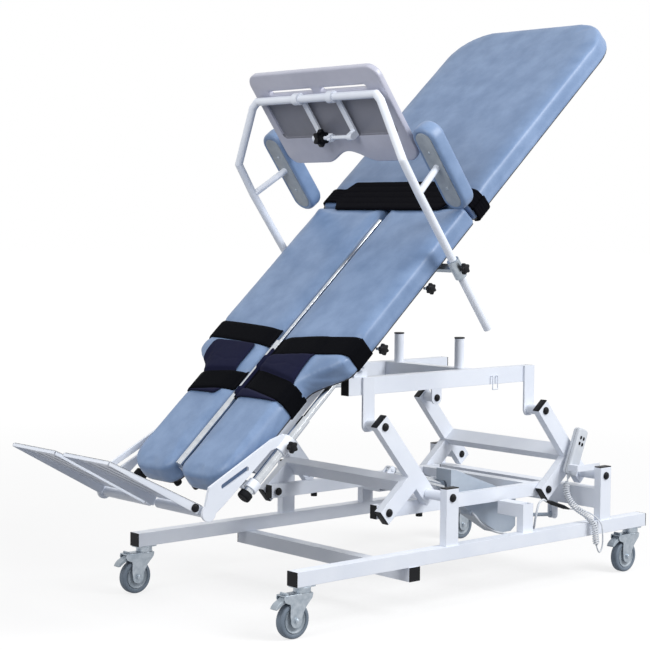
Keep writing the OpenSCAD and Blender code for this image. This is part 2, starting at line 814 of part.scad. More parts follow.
module tilt_actuator_rod() {
  back = from_foot(member_at) - member_depth / 2;
  slot = lever_pin_r + lever_pin_play;
  rod_end = back - tilt_body_length + tilt_rod_cover;
  color(chrome_grey) {
    difference() {
      translate([lever_pin[0], 0, tilt_rod_z]) cube([2 * slot + 2 * yoke_wall, yoke_wall, yoke_height],
        center = true);
      translate([lever_pin[0], 0, tilt_rod_z]) cube([2 * slot, 2 * yoke_wall, yoke_height - yoke_wall],
        center = true);
    }
    translate([lever_pin[0] + slot + cut, 0, tilt_rod_z]) rotate([0, 90, 0])
      cylinder(r = tilt_rod_r, h = rod_end - lever_pin[0] - slot - cut);
  }
}

// Table. In the table's own coordinates X follows the table towards the head and Z is square to it.

tilt_pin_end = 203;
frame_y = 185;
frame_foot = 480;
frame_head = 1300;
cross_bars = [-465, 0, 460, 1285];
table_lug_y = 194;
table_lug_wall = 8;
table_lug_r = 18;
lever_y = 13;
lever_wall = 6;
lever_plate_r = 13;
side_tube_n = 70;
frame_n = board_level - frame_size / 2;
eye_wall = 5;
eye_length = 26;
eye_places = [-530, -110, 30];
eye_bar = 8;
rail_post_places = [-548, 450];
rail_post_halves = [8, 5];
board_inset = 6;
board_top = board_level + board_thickness;
pad_base = board_top + gap;
pad_top = pad_base + pad_thickness;
half_table = table_width / 2;

module on_table() {
  at_pivot(tilt_pivot) pitched(rest_tilt) children();
}

function lever_pin_local() = turned(lever_pin - tilt_pivot, -rest_tilt);

module table_frame() {
  pin = lever_pin_local();
  frame_inner = frame_y - frame_size / 2;
  color(white_paint) on_table() {
    for (s = cross_bars) translate([s, 0, frame_n]) box_tube([frame_size, 2 * frame_inner, frame_size], 1);
    both_sides() {
      translate([(frame_head - frame_foot) / 2, frame_y, frame_n])
        box_tube([frame_head + frame_foot, frame_size, frame_size], 0);
      translate([0, table_lug_y, 0]) difference() {
        plate(table_lug_wall) link_outline([0, 0], [0, frame_n - frame_size / 2], table_lug_r);
        rod_y(tilt_pin_r + fit, -table_lug_wall, table_lug_wall);
      }
      translate([0, lever_y, 0]) plate(lever_wall) link_outline(pin, [0, frame_n], lever_plate_r);
      for (s = eye_places) translate([s, 0, side_tube_n])
        side_tube_eye(s < slide_tube_end ? slide_tube_r : side_tube_r);
    }
    at_pivot(pin) rod_y(lever_pin_r, -lever_y, lever_y);
    // Posts that carry the centre rail, and the bar under the first of them
    for (k = [0, 1]) difference() {
      translate([rail_post_places[k] - rail_post_halves[k], -rail_post_halves[k], frame_n])
        cube([2 * rail_post_halves[k], 2 * rail_post_halves[k], centre_rail_n - frame_n]);
      translate([rail_post_places[k], 0, centre_rail_n]) rotate([0, 90, 0])
        cylinder(r = (k == 0 ? centre_rail_r : centre_rail_thin_r) + fit, h = frame_size, center = true);
    }
    translate([rail_post_places[0] - rail_post_halves[0], -rail_post_halves[0],
      frame_n - rail_post_halves[0]])
      cube([cross_bars[0] - rail_post_places[0], 2 * rail_post_halves[0], 2 * rail_post_halves[0]]);
  }
}

// Bracket from the frame to an eye around a side tube
module side_tube_eye(tube_r) {
  frame_outer = frame_y + frame_size / 2;
  difference() {
    union() {
      translate([0, side_tube_y, 0]) rotate([0, 90, 0])
        cylinder(r = tube_r + eye_wall, h = eye_length, center = true);
      translate([-eye_length / 2, frame_outer - cut, -eye_bar / 2])
        cube([eye_length, side_tube_y - frame_outer, eye_bar]);
    }
    translate([0, side_tube_y, 0]) rotate([0, 90, 0])
      cylinder(r = tube_r + fit, h = 2 * eye_length, center = true);
  }
}

slide_tube_foot = -561;
slide_tube_end = -280;
side_tube_head = 56;
centre_rail_n = 141;
centre_rail_r = 12;
centre_rail_thin_r = 6;
centre_rail_foot = -556;
centre_rail_step = -72;
centre_rail_head = 458;

module leg_rails() {
  color(chrome_grey) on_table() {
    both_sides() translate([slide_tube_foot, side_tube_y, side_tube_n]) rotate([0, 90, 0]) {
      cylinder(r = slide_tube_r, h = slide_tube_end - slide_tube_foot);
      cylinder(r = side_tube_r, h = side_tube_head - slide_tube_foot);
    }
    translate([centre_rail_foot, 0, centre_rail_n]) rotate([0, 90, 0]) {
      cylinder(r = centre_rail_r, h = centre_rail_step - centre_rail_foot);
      cylinder(r = centre_rail_thin_r, h = centre_rail_head - centre_rail_foot);
    }
  }
}

// Outlines of the pads, as points that run against the clock

slit_half = 8;
rail_slit_half = 14;
foot_inner_r = 45;
foot_outer_r = 75;
joint_r = 14;
step_head = -118;
step_length = 104;

function arc(centre, r, from, to, steps) =
  [for (i = [0:steps]) centre + r * [cos(from + (to - from) * i / steps),
    sin(from + (to - from) * i / steps)]];

function leg_outline() = concat(
  arc([-leg_reach + foot_inner_r, rail_slit_half + foot_inner_r], foot_inner_r, 180, 270, 6),
  [[centre_rail_step, rail_slit_half], [centre_rail_step + joint_r, slit_half], [0, slit_half],
    [split_at / 2, slit_half]],
  arc([split_at - gap - joint_r, slit_half + joint_r], joint_r, 270, 360, 4),
  arc([split_at - gap - joint_r, half_table - joint_r], joint_r, 0, 90, 4),
  [[split_at / 2, half_table], [0, half_table]],
  [for (i = [0:8]) [
    step_head - step_length * i / 8,
    half_table - (half_table - leg_outer) * (1 - cos(180 * i / 8)) / 2]],
  arc([-leg_reach + foot_outer_r, leg_outer - foot_outer_r], foot_outer_r, 90, 180, 8));

function main_outline() = concat(
  arc([split_at + gap + joint_r, -half_table + joint_r], joint_r, 180, 270, 4),
  [[(split_at + head_reach) / 2, -half_table]],
  arc([head_reach - corner_r, -half_table + corner_r], corner_r, 270, 360, 9),
  [[head_reach, 0]],
  arc([head_reach - corner_r, half_table - corner_r], corner_r, 0, 90, 9),
  [[(split_at + head_reach) / 2, half_table]],
  arc([split_at + gap + joint_r, half_table - joint_r], joint_r, 90, 180, 4),
  [[split_at + gap, 0]]);

// The outline moved inwards along its own normals
function drawn_in(points, depth) = [for (i = [0:len(points) - 1])
  let (
    before = points[(i + len(points) - 1) % len(points)],
    after = points[(i + 1) % len(points)],
    along = (after - before) / norm(after - before))
  points[i] + depth * [-along[1], along[0]]];

function shrunk(points, centre, share) = [for (p = points) centre + (p - centre) * share];

function at_height(points, z) = [for (p = points) [p[0], p[1], z]];

// Sides of a pad: how far they are drawn in, and at which share of the thickness
side_insets = [5, 1, 0, 0, 3, 10];
side_height_shares = [0, 0.12, 0.3, 0.72, 0.9, 0.98];
crown_ring_share = 0.55;
crown_height_share = 0.8;

// Closed cushion on an outline, with a crown that rises to its centre
module cushion(outline, centre, thickness, crown) {
  count = len(outline);
  tops = drawn_in(outline, side_insets[5]);
  rings = concat(
    [for (k = [0:5]) at_height(drawn_in(outline, side_insets[k]), thickness * side_height_shares[k])],
    [at_height(shrunk(tops, centre, crown_ring_share), thickness + crown * crown_height_share)]);
  last = len(rings) - 1;
  points = concat([for (ring = rings) each ring],
    [[centre[0], centre[1], 0], [centre[0], centre[1], thickness + crown]]);
  base = len(points) - 2;
  faces = concat(
    [for (k = [0:last - 1], i = [0:count - 1]) [k * count + i, (k + 1) * count + i,
      (k + 1) * count + (i + 1) % count]],
    [for (k = [0:last - 1], i = [0:count - 1]) [k * count + i, (k + 1) * count + (i + 1) % count,
      k * count + (i + 1) % count]],
    [for (i = [0:count - 1]) [base, i, (i + 1) % count]],
    [for (i = [0:count - 1]) [base + 1, last * count + (i + 1) % count, last * count + i]]);
  polyhedron(points = points, faces = faces);
}

leg_centre = [0, half_table / 2];
main_centre = [(split_at + head_reach) / 2, 0];

module pad_boards() {
  color(black_plastic) on_table() translate([0, 0, board_level]) {
    linear_extrude(board_thickness) polygon(drawn_in(main_outline(), board_inset));
    both_sides() linear_extrude(board_thickness) polygon(drawn_in(leg_outline(), board_inset));
  }
}

module main_pad() {
  color(vinyl_blue) on_table() translate([0, 0, pad_base])
    cushion(main_outline(), main_centre, pad_thickness, pad_crown);
}

module leg_pads() {
  color(vinyl_blue) on_table() translate([0, 0, pad_base]) both_sides()
    cushion(leg_outline(), leg_centre, pad_thickness, pad_crown);
}

// Straps

strap_thickness = 4;
strap_level = pad_top + pad_crown + gap;

// Band through places of [along, across, height], square to its path, with a half width at each place
module ribbon(path, half_widths, thickness) {
  count = len(path);
  corners = [for (i = [0:count - 1])
    let (
      before = path[max(i - 1, 0)],
      after = path[min(i + 1, count - 1)],
      run = [after[1] - before[1], after[2] - before[2]],
      lift = [-run[1], run[0]] / norm(run) * thickness,
      p = path[i],
      w = half_widths[i])
    each [
      [p[0] - w, p[1], p[2]], [p[0] + w, p[1], p[2]],
      [p[0] + w, p[1] + lift[0], p[2] + lift[1]], [p[0] - w, p[1] + lift[0], p[2] + lift[1]]]];
  sides = [for (i = [0:count - 2], k = [0:3]) let (a = 4 * i + k, b = 4 * i + (k + 1) % 4) each [
    [a, b + 4, a + 4], [a, b, b + 4]]];
  last = 4 * (count - 1);
  polyhedron(points = corners, faces = concat(sides,
    [[0, 2, 1], [0, 3, 2], [last, last + 1, last + 2], [last, last + 2, last + 3]]));
}

strap_half_width = 35;
straps = [[1, -65, -47, half_table], [-1, -102, -66, half_table], [1, -235, -262, leg_outer],
  [-1, -222, -264, leg_outer]];
strap_side = 3;
strap_corner = 10;
strap_hem = 84;
strap_tuck = 16;
strap_inner_y = 1;
belt_s = 560;
belt_half_width = 56;
belt_strap_half_width = 30;
belt_body_y = 250;

// Path of a strap from the slit over the pad, down its side and under the board
function strap_path(inner_s, outer_s, edge) = [
  [inner_s, strap_inner_y, strap_level],
  [(inner_s + outer_s) / 2, edge / 2, strap_level],
  [outer_s, edge - strap_corner, strap_level],
  [outer_s, edge + strap_side, strap_level - strap_corner],
  [outer_s, edge + strap_side, strap_hem + strap_corner],
  [outer_s, edge - strap_corner / 2, strap_hem],
  [outer_s, edge - strap_tuck, strap_hem]];

module leg_straps() {
  widths = [for (i = [0:6]) strap_half_width];
  color(strap_black) on_table() for (s = straps) mirror([0, (1 - s[0]) / 2, 0])
    ribbon(strap_path(s[1], s[2], s[3]), widths, strap_thickness);
}

module hip_belt() {
  half = strap_path(belt_s, belt_s, half_table);
  left = [for (i = [6:-1:2]) [half[i][0], -half[i][1], half[i][2]]];
  right = [for (i = [2:6]) half[i]];
  path = concat(left, [for (y = [-belt_body_y, 0, belt_body_y]) [belt_s, y, strap_level]], right);
  ends = [for (p = left) belt_strap_half_width];
  widths = concat(ends, [belt_half_width, belt_half_width, belt_half_width], ends);
  color(strap_black) on_table() ribbon(path, widths, strap_thickness);
}

knee_pad_size = [104, 200];
knee_pad_at = [-158, 140];
knee_pad_thickness = 12;
knee_pad_crown = 3;
knee_pad_r = 24;

function round_outline(size, r) = concat(
  arc([size[0] / 2 - r, size[1] / 2 - r], r, 0, 90, 6),
  arc([-size[0] / 2 + r, size[1] / 2 - r], r, 90, 180, 6),
  arc([-size[0] / 2 + r, -size[1] / 2 + r], r, 180, 270, 6),
  arc([size[0] / 2 - r, -size[1] / 2 + r], r, 270, 360, 6));

module knee_pads() {
  color(navy_cloth) on_table() both_sides()
    translate([knee_pad_at[0], knee_pad_at[1], strap_level + strap_thickness + gap])
    cushion(round_outline(knee_pad_size, knee_pad_r), [0, 0], knee_pad_thickness, knee_pad_crown);
}

// Knob with lobes along Y, from its hub to its face
module star_knob(r, thickness, lobes) {
  translate([0, thickness / 2, 0]) plate(thickness) {
    circle(r = r * knob_core_share);
    for (k = [0:lobes - 1]) rotate(360 * k / lobes) translate([r * (1 - lobe_share), 0])
      circle(r = r * lobe_share);
  }
}

knob_core_share = 0.78;
lobe_share = 0.32;
knob_r = 17;
knob_thickness = 20;
knob_lobes = 6;
stud_r = 3;
stud_n = 84.6;
rail_knobs = [-10, 236];
rail_knob_y = 334;
rubber_r = 19;
rubber_length = 20;
rubber_lap = 6;
leg_foot = [-572, 42];
leg_foot_r = 11;
leg_foot_height = 14;

// Rubber ends of the side tubes, rubber feet under the legs and the knobs that lock the leg pads
module table_fittings() {
  color(black_plastic) on_table() {
    both_sides() {
      translate([slide_tube_foot - rubber_length + rubber_lap, side_tube_y, side_tube_n])
        rotate([0, 90, 0]) difference() {
        cylinder(r = rubber_r, h = rubber_length);
        translate([0, 0, rubber_length - rubber_lap])
          cylinder(r = slide_tube_r + fit, h = rubber_lap + cut);
      }
      translate([leg_foot[0], leg_foot[1], board_level - leg_foot_height])
        cylinder(r = leg_foot_r, h = leg_foot_height);
    }
    for (s = rail_knobs) mirror([0, 1, 0]) translate([s, 0, stud_n]) {
      rod_y(stud_r, frame_y + frame_size / 2, rail_knob_y + cut);
      translate([0, rail_knob_y, 0]) star_knob(knob_r, knob_thickness, knob_lobes);
    }
  }
}

// Footrest

arm_y = 241;
arm_wall = 8;
arm_eye_r = 22;
hinge_at = [-plate_hinge_s, plate_hinge_n];
slide_sleeve_s = -381;
slide_sleeve_r = 20;
slide_sleeve_length = 50;
arm_outline = [
  [-362, 86], [-362, 98], [-402, 118], [-634, 178], [-686, 143], [-680, 127], [-674, 112], [-632, 107],
  [-424, 98], [-400, 86]];
slot_from = [-600, 146];
slot_to = [-515, 122];
slot_r = 7;

module footrest_slide() {
  color(white_paint) on_table() {
    at_pivot(hinge_at) rod_y(hinge_rod_r, -arm_y, arm_y);
    both_sides() footrest_arm();
  }
}

module footrest_arm() {
  difference() {
    union() {
      translate([0, arm_y, 0]) plate(arm_wall) difference() {
        union() {
          polygon(arm_outline);
          translate(hinge_at) circle(r = arm_eye_r);
        }
        link_outline(slot_from, slot_to, slot_r);
      }
      translate([slide_sleeve_s, side_tube_y, side_tube_n]) rotate([0, 90, 0])
        cylinder(r = slide_sleeve_r, h = slide_sleeve_length, center = true);
    }
    translate([slide_sleeve_s, side_tube_y, side_tube_n]) {
      rotate([0, 90, 0]) cylinder(r = slide_tube_r + fit, h = 2 * slide_sleeve_length, center = true);
      rod_y(clamp_screw_r + fit, 0, 2 * slide_sleeve_r);
    }
  }
}

plate_inner_y = 20;
plate_start = 6;
plate_barrel_r = 14;
plate_rim = 4;
plate_skin = 6;
plate_slots = 4;
plate_slot_r = 6;
plate_slot_share = 0.34;

// In the plate's own coordinates X runs from the hinge to the tip and Z points away from the feet
module foot_plate() {
  middle = plate_inner_y + plate_width / 2;
  length = plate_length - plate_start;
  pitch = plate_width / (plate_slots + 1);
  at_pivot(hinge_at) pitched(plate_angle) difference() {
    union() {
      translate([plate_start, plate_inner_y, -plate_thickness / 2])
        cube([length, plate_width, plate_thickness]);
      rod_y(plate_barrel_r, plate_inner_y, plate_inner_y + plate_width);
    }
    rod_y(hinge_rod_r + fit, 0, arm_y);
    translate([plate_barrel_r + plate_rim, plate_inner_y + plate_rim, -plate_thickness / 2 + plate_skin])
      cube([plate_length - plate_barrel_r - 2 * plate_rim, plate_width - 2 * plate_rim, plate_thickness]);
    for (k = [1:plate_slots]) translate([plate_length / 2, plate_inner_y + k * pitch, -plate_thickness]) {
      linear_extrude(2 * plate_thickness)
        link_outline([-plate_length * plate_slot_share, 0], [plate_length * plate_slot_share, 0],
          plate_slot_r);
    }
  }
}

module foot_plate_left() {
  color(white_paint) on_table() mirror([0, 1, 0]) foot_plate();
}

module foot_plate_right() {
  color(white_paint) on_table() foot_plate();
}

clamp_screw_r = 4;
clamp_knob_r = 17;
clamp_knob_thickness = 20;
clamp_knob_lobes = 5;

// Clamp screw with its knob, along Y from the tube it presses on
module clamp_knob(tube_r, sleeve_r) {
  rod_y(clamp_screw_r, tube_r + gap, sleeve_r + 2 * gap + cut);
  translate([0, sleeve_r + gap, 0]) star_knob(clamp_knob_r, clamp_knob_thickness, clamp_knob_lobes);
}

module slide_knob_right() {
  color(black_plastic) on_table() translate([slide_sleeve_s, side_tube_y, side_tube_n])
    clamp_knob(slide_tube_r, slide_sleeve_r);
}

module slide_knob_left() {
  mirror([0, 1, 0]) slide_knob_right();
}

// Tray frame

tray_leg_foot = [317, -151];
tray_leg_top = [362, 331];
tray_leg_bend = [378, 440];
tray_corner = [482, 572];
tray_bar = [495, 585];
tray_bend_y = 362;
tray_corner_y = 282;
tray_bar_y = 262;
tray_lean = atan2(tray_leg_top[0] - tray_leg_foot[0], tray_leg_top[1] - tray_leg_foot[1]);
clamp_n = 70;
clamp_s = tray_leg_foot[0] + (clamp_n - tray_leg_foot[1]) * tan(tray_lean);
clamp_sleeve_r = 18;
clamp_sleeve_length = 60;
clamp_bar_width = 24;
clamp_bar_height = 12;

// Points on the right side as [along, across, height]
function tray_half() = [
  [tray_leg_foot[0], tray_leg_y, tray_leg_foot[1]],
  [tray_leg_top[0], tray_leg_y, tray_leg_top[1]],
  [tray_leg_bend[0], tray_bend_y, tray_leg_bend[1]],
  [tray_corner[0], tray_corner_y, tray_corner[1]],
  [tray_bar[0], tray_bar_y, tray_bar[1]]];

// Straight tube between two places
module tube_between(a, b, r) {
  run = b - a;
  translate(a) rotate([0, acos(run[2] / norm(run)), atan2(run[1], run[0])]) cylinder(r = r, h = norm(run));
}

stub_r = 10;
stub_drop = 12;
arm_pad_at = [497, 332, 307];
arm_pad_r = 43;
arm_board_thickness = 9;

module tray_frame() {
  points = tray_half();
  color(white_paint) on_table() translate([tray_bar[0], 0, tray_bar[1]])
    rod_y(tray_tube_r, -tray_bar_y, tray_bar_y);
  color(white_paint) on_table() both_sides() {
    for (i = [0:len(points) - 2]) tube_between(points[i], points[i + 1], tray_tube_r);
    for (i = [1:len(points) - 1]) translate(points[i]) sphere(r = tray_tube_r + fit);
    difference() {
      tube_between(
        [tray_leg_top[0], tray_leg_y, tray_leg_top[1]],
        [arm_pad_at[0], arm_pad_at[1], tray_leg_top[1] - stub_drop], stub_r);
      translate(arm_pad_at) rotate([0, tray_lean, 0])
        translate([-arm_board_thickness - gap, -arm_pad_width / 2, -arm_pad_width / 2])
        cube(arm_pad_width);
    }
  }
}

module tray_clamps() {
  frame_outer = frame_y + frame_size / 2;
  color(castor_grey) on_table() both_sides() difference() {
    union() {
      translate([clamp_s, tray_leg_y, clamp_n]) rotate([0, tray_lean, 0])
        cylinder(r = clamp_sleeve_r, h = clamp_sleeve_length, center = true);
      translate([clamp_s - clamp_bar_width / 2, frame_outer, clamp_n - clamp_bar_height / 2])
        cube([clamp_bar_width, tray_leg_y - tray_tube_r - frame_outer, clamp_bar_height]);
    }
    translate([clamp_s, tray_leg_y, clamp_n]) {
      rotate([0, tray_lean, 0]) cylinder(r = tray_tube_r + fit, h = 2 * clamp_sleeve_length, center = true);
      rod_y(clamp_screw_r + fit, 0, 2 * clamp_sleeve_r);
    }
  }
}

module tray_clamp_knob_right() {
  color(black_plastic) on_table() translate([clamp_s, tray_leg_y, clamp_n])
    clamp_knob(tray_tube_r, clamp_sleeve_r);
}

module tray_clamp_knob_left() {
  mirror([0, 1, 0]) tray_clamp_knob_right();
}

// Board and foam of the two arm pads
module arm_pads() {
  outline = round_outline([arm_pad_width, arm_pad_length], arm_pad_r);
  color(vinyl_blue) on_table() both_sides() translate(arm_pad_at) rotate([0, tray_lean, 0])
    rotate([90, 0, 90]) {
    translate([0, 0, -arm_board_thickness]) linear_extrude(arm_board_thickness)
      polygon(drawn_in(outline, board_inset));
    translate([0, 0, gap]) cushion(outline, [0, 0], arm_pad_thickness - pad_crown, pad_crown);
  }
}

// Tray. In its own coordinates Z runs up the tray from the bar, X is square to it towards the head.

collar_r = 18;
collar_width = 24;
hanger_y = 75;
hanger_drop = 135;
hanger_wall = 6;
hanger_width = 20;
hanger_rod_x = -6;
knob_rod_r = 6;
small_knob_r = 13;
small_knob_y = 4;
tray_above_bar = 80;
tray_corner_r = 40;
tray_notch = [170, 38];
tray_notch_r = 18;
tray_rim = 22;
tray_recess = 5;
tray_slot_z = 15;
tray_slot_r = 6;
tray_slot_y = [20, 212];
slot_round_share = 0.9;
tray_band = [480, 64];
tray_band_z = -68;

module on_tray_bar() {
  on_table() translate([tray_bar[0], 0, tray_bar[1]]) rotate([0, tray_lean, 0]) children();
}

module tray() {
  back = collar_r;
  middle_z = tray_above_bar - tray_length / 2;
  color(tray_grey) on_tray_bar() difference() {
    translate([back, 0, middle_z]) rotate([90, 0, 90]) linear_extrude(tray_thickness) difference() {
      round_rect([tray_width, tray_length], tray_corner_r);
      translate([0, -tray_length / 2]) round_rect([tray_notch[0], 2 * tray_notch[1]], tray_notch_r);
      for (side = [-1, 1]) link_slot(side, tray_slot_z - middle_z);
    }
    translate([back + tray_thickness - tray_recess, 0, middle_z + tray_notch[1] / 2]) rotate([90, 0, 90])
      linear_extrude(tray_thickness)
      round_rect([tray_width - 2 * tray_rim, tray_length - 2 * tray_rim - tray_notch[1]],
        tray_corner_r / 2);
    translate([back - cut, 0, tray_band_z]) rotate([90, 0, 90]) linear_extrude(tray_recess + cut)
      round_rect(tray_band, tray_slot_r);
  }
}

module link_slot(side, z) {
  translate([side * (tray_slot_y[0] + tray_slot_y[1]) / 2, z])
    round_rect([tray_slot_y[1] - tray_slot_y[0], 2 * tray_slot_r], tray_slot_r * slot_round_share);
}

module tray_hanger() {
  inner = hanger_y - hanger_width / 2;
  color(white_paint) on_tray_bar() {
    both_sides() difference() {
      union() {
        rod_y(collar_r, hanger_y - collar_width / 2, hanger_y + collar_width / 2);
        translate([collar_r - hanger_wall, inner, -hanger_drop - hanger_width / 2])
          cube([hanger_wall, hanger_width, hanger_drop + hanger_width / 2]);
        translate([hanger_rod_x, 0, -hanger_drop]) rod_y(hanger_width / 2, inner, inner + hanger_width);
        translate([hanger_rod_x, inner, -hanger_drop - hanger_width / 2])
          cube([collar_r - hanger_rod_x, hanger_width, hanger_width]);
      }
      rod_y(tray_tube_r + fit, 0, hanger_y + collar_width);
    }
    translate([hanger_rod_x, 0, -hanger_drop]) rod_y(knob_rod_r, -hanger_y, hanger_y);
    translate([hanger_rod_x, small_knob_y, -hanger_drop]) star_knob(small_knob_r, small_knob_r, knob_lobes);
  }
}

tray_knob_r = 22;
tray_knob_thickness = 26;
tray_knob_y = 38;

module tray_tilt_knob() {
  color(black_plastic) on_tray_bar() translate([hanger_rod_x, tray_knob_y, -hanger_drop]) difference() {
    star_knob(tray_knob_r, tray_knob_thickness, knob_lobes);
    rod_y(knob_rod_r + fit, -tray_knob_thickness, 2 * tray_knob_thickness);
  }
}

// Handset

handset_near = 38;
handset_y = -post_inner + handset_near + handset_thickness / 2;
handset_foot = [from_foot(1187), 321];
handset_angle = 67.7;
handset_r = 12;
gland_r = 7;
gland_length = 12;
button_size = [10, 6.4];
button_rows = [30, 49];
button_columns = [-7, 7];
button_proud = 1.8;
button_depth = 2.4;
button_travel = 1.5;
button_round_share = 0.4;

module in_handset() {
  translate([0, handset_y, 0]) at_pivot(handset_foot) pitched(handset_angle) children();
}

module button_shape(extra) {
  round_rect([button_size[0] + 2 * extra, button_size[1] + 2 * extra], button_size[1] * button_round_share);
}

module handset() {
  face = -handset_thickness / 2;
  color(cord_grey) in_handset() difference() {
    union() {
      translate([handset_length / 2, 0, 0]) plate(handset_thickness)
        round_rect([handset_length, handset_width], handset_r);
      translate([-gland_length, 0, 0]) rotate([0, 90, 0]) cylinder(r = gland_r, h = gland_length + cut);
    }
    for (x = button_rows, z = button_columns)
      translate([handset_length - x, face, z]) plate(2 * (button_depth + button_travel + gap))
        button_shape(gap);
  }
}

module button(row, column) {
  face = -handset_thickness / 2;
  color(black_plastic) in_handset()
    translate([handset_length - button_rows[row], face + (button_depth - button_proud) / 2,
      button_columns[column]])
      plate(button_depth + button_proud) button_shape(0);
}

module button_table_up() { button(0, 0); }

module button_table_down() { button(0, 1); }

module button_tilt_up() { button(1, 0); }

module button_tilt_down() { button(1, 1); }

// Cords

cord_r = 2.2;
curl_r = curl_outer_r - cord_r;
curls_per_leg = 5;
curl_rings = 8;
curl_sides = 6;
cord_foot = turned([-gland_length, 0], handset_angle) + handset_foot;
curly_route = [
  [cord_foot[0], handset_y, cord_foot[1]], [688, -303, 278], [686, -318, 246], [692, -344, 222],
  [700, -376, 204], [708, -398, 178], [714, -402, 144], [720, -402, 110]];
plain_route = [
  [734, -402, 88], [750, -400, 104], [754, -398, 140], [752, -392, 175], [744, -368, 198],
    [726, -338, 212]];
connector_r = 6.5;
connector_end = [from_foot(1178), -310, 216];
connector_start = [from_foot(1069), -310, 252];
plain_steps = 3;

function curve_at(points, t) =
  let (
    last = len(points) - 1,
    i = max(0, min(floor(t), last - 1)),
    u = t - i,
    p1 = points[i],
    p2 = points[i + 1],
    p0 = i > 0 ? points[i - 1] : 2 * p1 - p2,
    p3 = i + 2 <= last ? points[i + 2] : 2 * p2 - p1)
  (2 * p1 + u * (p2 - p0) + u * u * (2 * p0 - 5 * p1 + 4 * p2 - p3) + u * u * u * (3 * p1 - p0 - 3 * p2 + p3)) / 2;

function unit(v) = v / norm(v);

function square_to(v, ahead) = unit(v - (v * ahead) * ahead);

function heading(c, i) = unit(c[min(i + 1, len(c) - 1)] - c[max(i - 1, 0)]);

// Directions square to a path, carried along it without a twist
function sides_along(c) = [for (
  i = 0, v = square_to([1, 0, 0], heading(c, 0));
  i < len(c);
  i = i + 1, v = square_to(v, heading(c, min(i, len(c) - 1)))) v];

curl_step = 0.02;

function curl_centre(points, t, size) =
  let (
    ahead = unit(curve_at(points, t + curl_step) - curve_at(points, t - curl_step)),
    one = square_to([1, 0, 0], ahead),
    turn = 360 * curls_per_leg * t)
  curve_at(points, t) + size * (cos(turn) * one + sin(turn) * cross(ahead, one));

// Tube of flat faces through ring centres
module swept_tube(centres, r, sides) {
  count = len(centres);
  across = sides_along(centres);
  points = [for (i = [0:count - 1]) let (one = across[i], two = cross(heading(centres, i), one))
    for (k = [0:sides - 1]) centres[i] + r * (cos(360 * k / sides) * one + sin(360 * k / sides) * two)];
  faces = concat(
    [for (i = [0:count - 2], k = [0:sides - 1]) let (a = i * sides + k, b = i * sides + (k + 1) % sides)
      each [
      [a, a + sides, b + sides], [a, b + sides, b]]],
    [for (k = [1:sides - 2]) [0, k, k + 1]],
    [for (k = [1:sides - 2]) [(count - 1) * sides, (count - 1) * sides + k + 1, (count - 1) * sides + k]]);
  polyhedron(points = points, faces = faces);
}

curl_legs = len(curly_route) - 1;
ramp_legs = 0.35;
start_legs = 0.15;
cord_route = concat(curly_route, plain_route, [connector_end]);

function curl_size(t) =
  let (up = (t - start_legs) / ramp_legs, down = (curl_legs - t) / ramp_legs, s = max(0, min(1, up, down)))
  curl_r * s * s * (3 - 2 * s);

cord_centres = concat(
  [for (i = [0:curl_legs * curls_per_leg * curl_rings]) let (t = i / (curls_per_leg * curl_rings))
    curl_centre(cord_route, t, curl_size(t))],
  [for (i = [1:plain_steps * (len(plain_route) + 1)]) curve_at(cord_route, curl_legs + i / plain_steps)]);

// Least distance between the skins of a tube's turns, for rings at least this many apart
function least_gap(c, r, apart) =
  min([for (i = [0:len(c) - 1 - apart], j = [i + apart:len(c) - 1]) norm(c[i] - c[j])]) - 2 * r;

module handset_cord() {
  echo(least_cord_gap = least_gap(cord_centres, cord_r, curl_rings - 2));
  color(cord_grey) swept_tube(cord_centres, cord_r, curl_sides);
  color(black_plastic) tube_between(connector_start, connector_end, connector_r);
}

cable_r = 3.5;
cable_sides = 8;
cable_lead = 2.2;
gland_face_y = actuator_y - housing_width / 2 - cable_gland_length - cable_lead;
cable_route = [
  [cable_gland_at[0], gland_face_y, cable_gland_at[1]], [374, -212, 214], [401, -216, 186],
    [446, -218, 162],
  [496, -222, 148], [530, -258, 140], [540, -296, 160], [536, -312, 205], [548, -313, 246],
    [571, -310, 257],
  connector_start];

module motor_cable() {
  color(cord_grey) swept_tube(
    [for (i = [0:plain_steps * (len(cable_route) - 1)]) curve_at(cable_route, i / plain_steps)], cable_r,
      cable_sides);
}

base_rails();
base_cross_members();
base_posts();
base_caps();
lift_pivot_bolts();
castor_plates();
castor_fork_foot_left();
castor_fork_foot_right();
castor_fork_head_left();
castor_fork_head_right();
castor_wheel_foot_left();
castor_wheel_foot_right();
castor_wheel_head_left();
castor_wheel_head_right();
brake_pedal_foot_left();
brake_pedal_foot_right();
brake_pedal_head_left();
brake_pedal_head_right();
handset();
handset_cord();
motor_cable();
button_table_up();
button_table_down();
button_tilt_up();
button_tilt_down();
front_crank();
front_crank_fittings();
rear_crank();
rear_crank_fittings();
link_frame();
link_frame_caps();
lift_actuator_housing();
lift_actuator_motor();
lift_actuator_rod();
upper_frame();
upper_frame_caps();
tilt_actuator_body();
tilt_actuator_rod();
table_frame();
pad_boards();
main_pad();
leg_pads();
leg_rails();
table_fittings();
hip_belt();
leg_straps();
knee_pads();
footrest_slide();
foot_plate_left();
foot_plate_right();
slide_knob_left();
slide_knob_right();
tray_clamps();
tray_clamp_knob_left();
tray_clamp_knob_right();
tray_frame();
arm_pads();
tray();
tray_hanger();
tray_tilt_knob();
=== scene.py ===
import math
from contextlib import contextmanager

import bmesh
import bpy
from mathutils import Matrix, Vector, noise
from mathutils.bvhtree import BVHTree


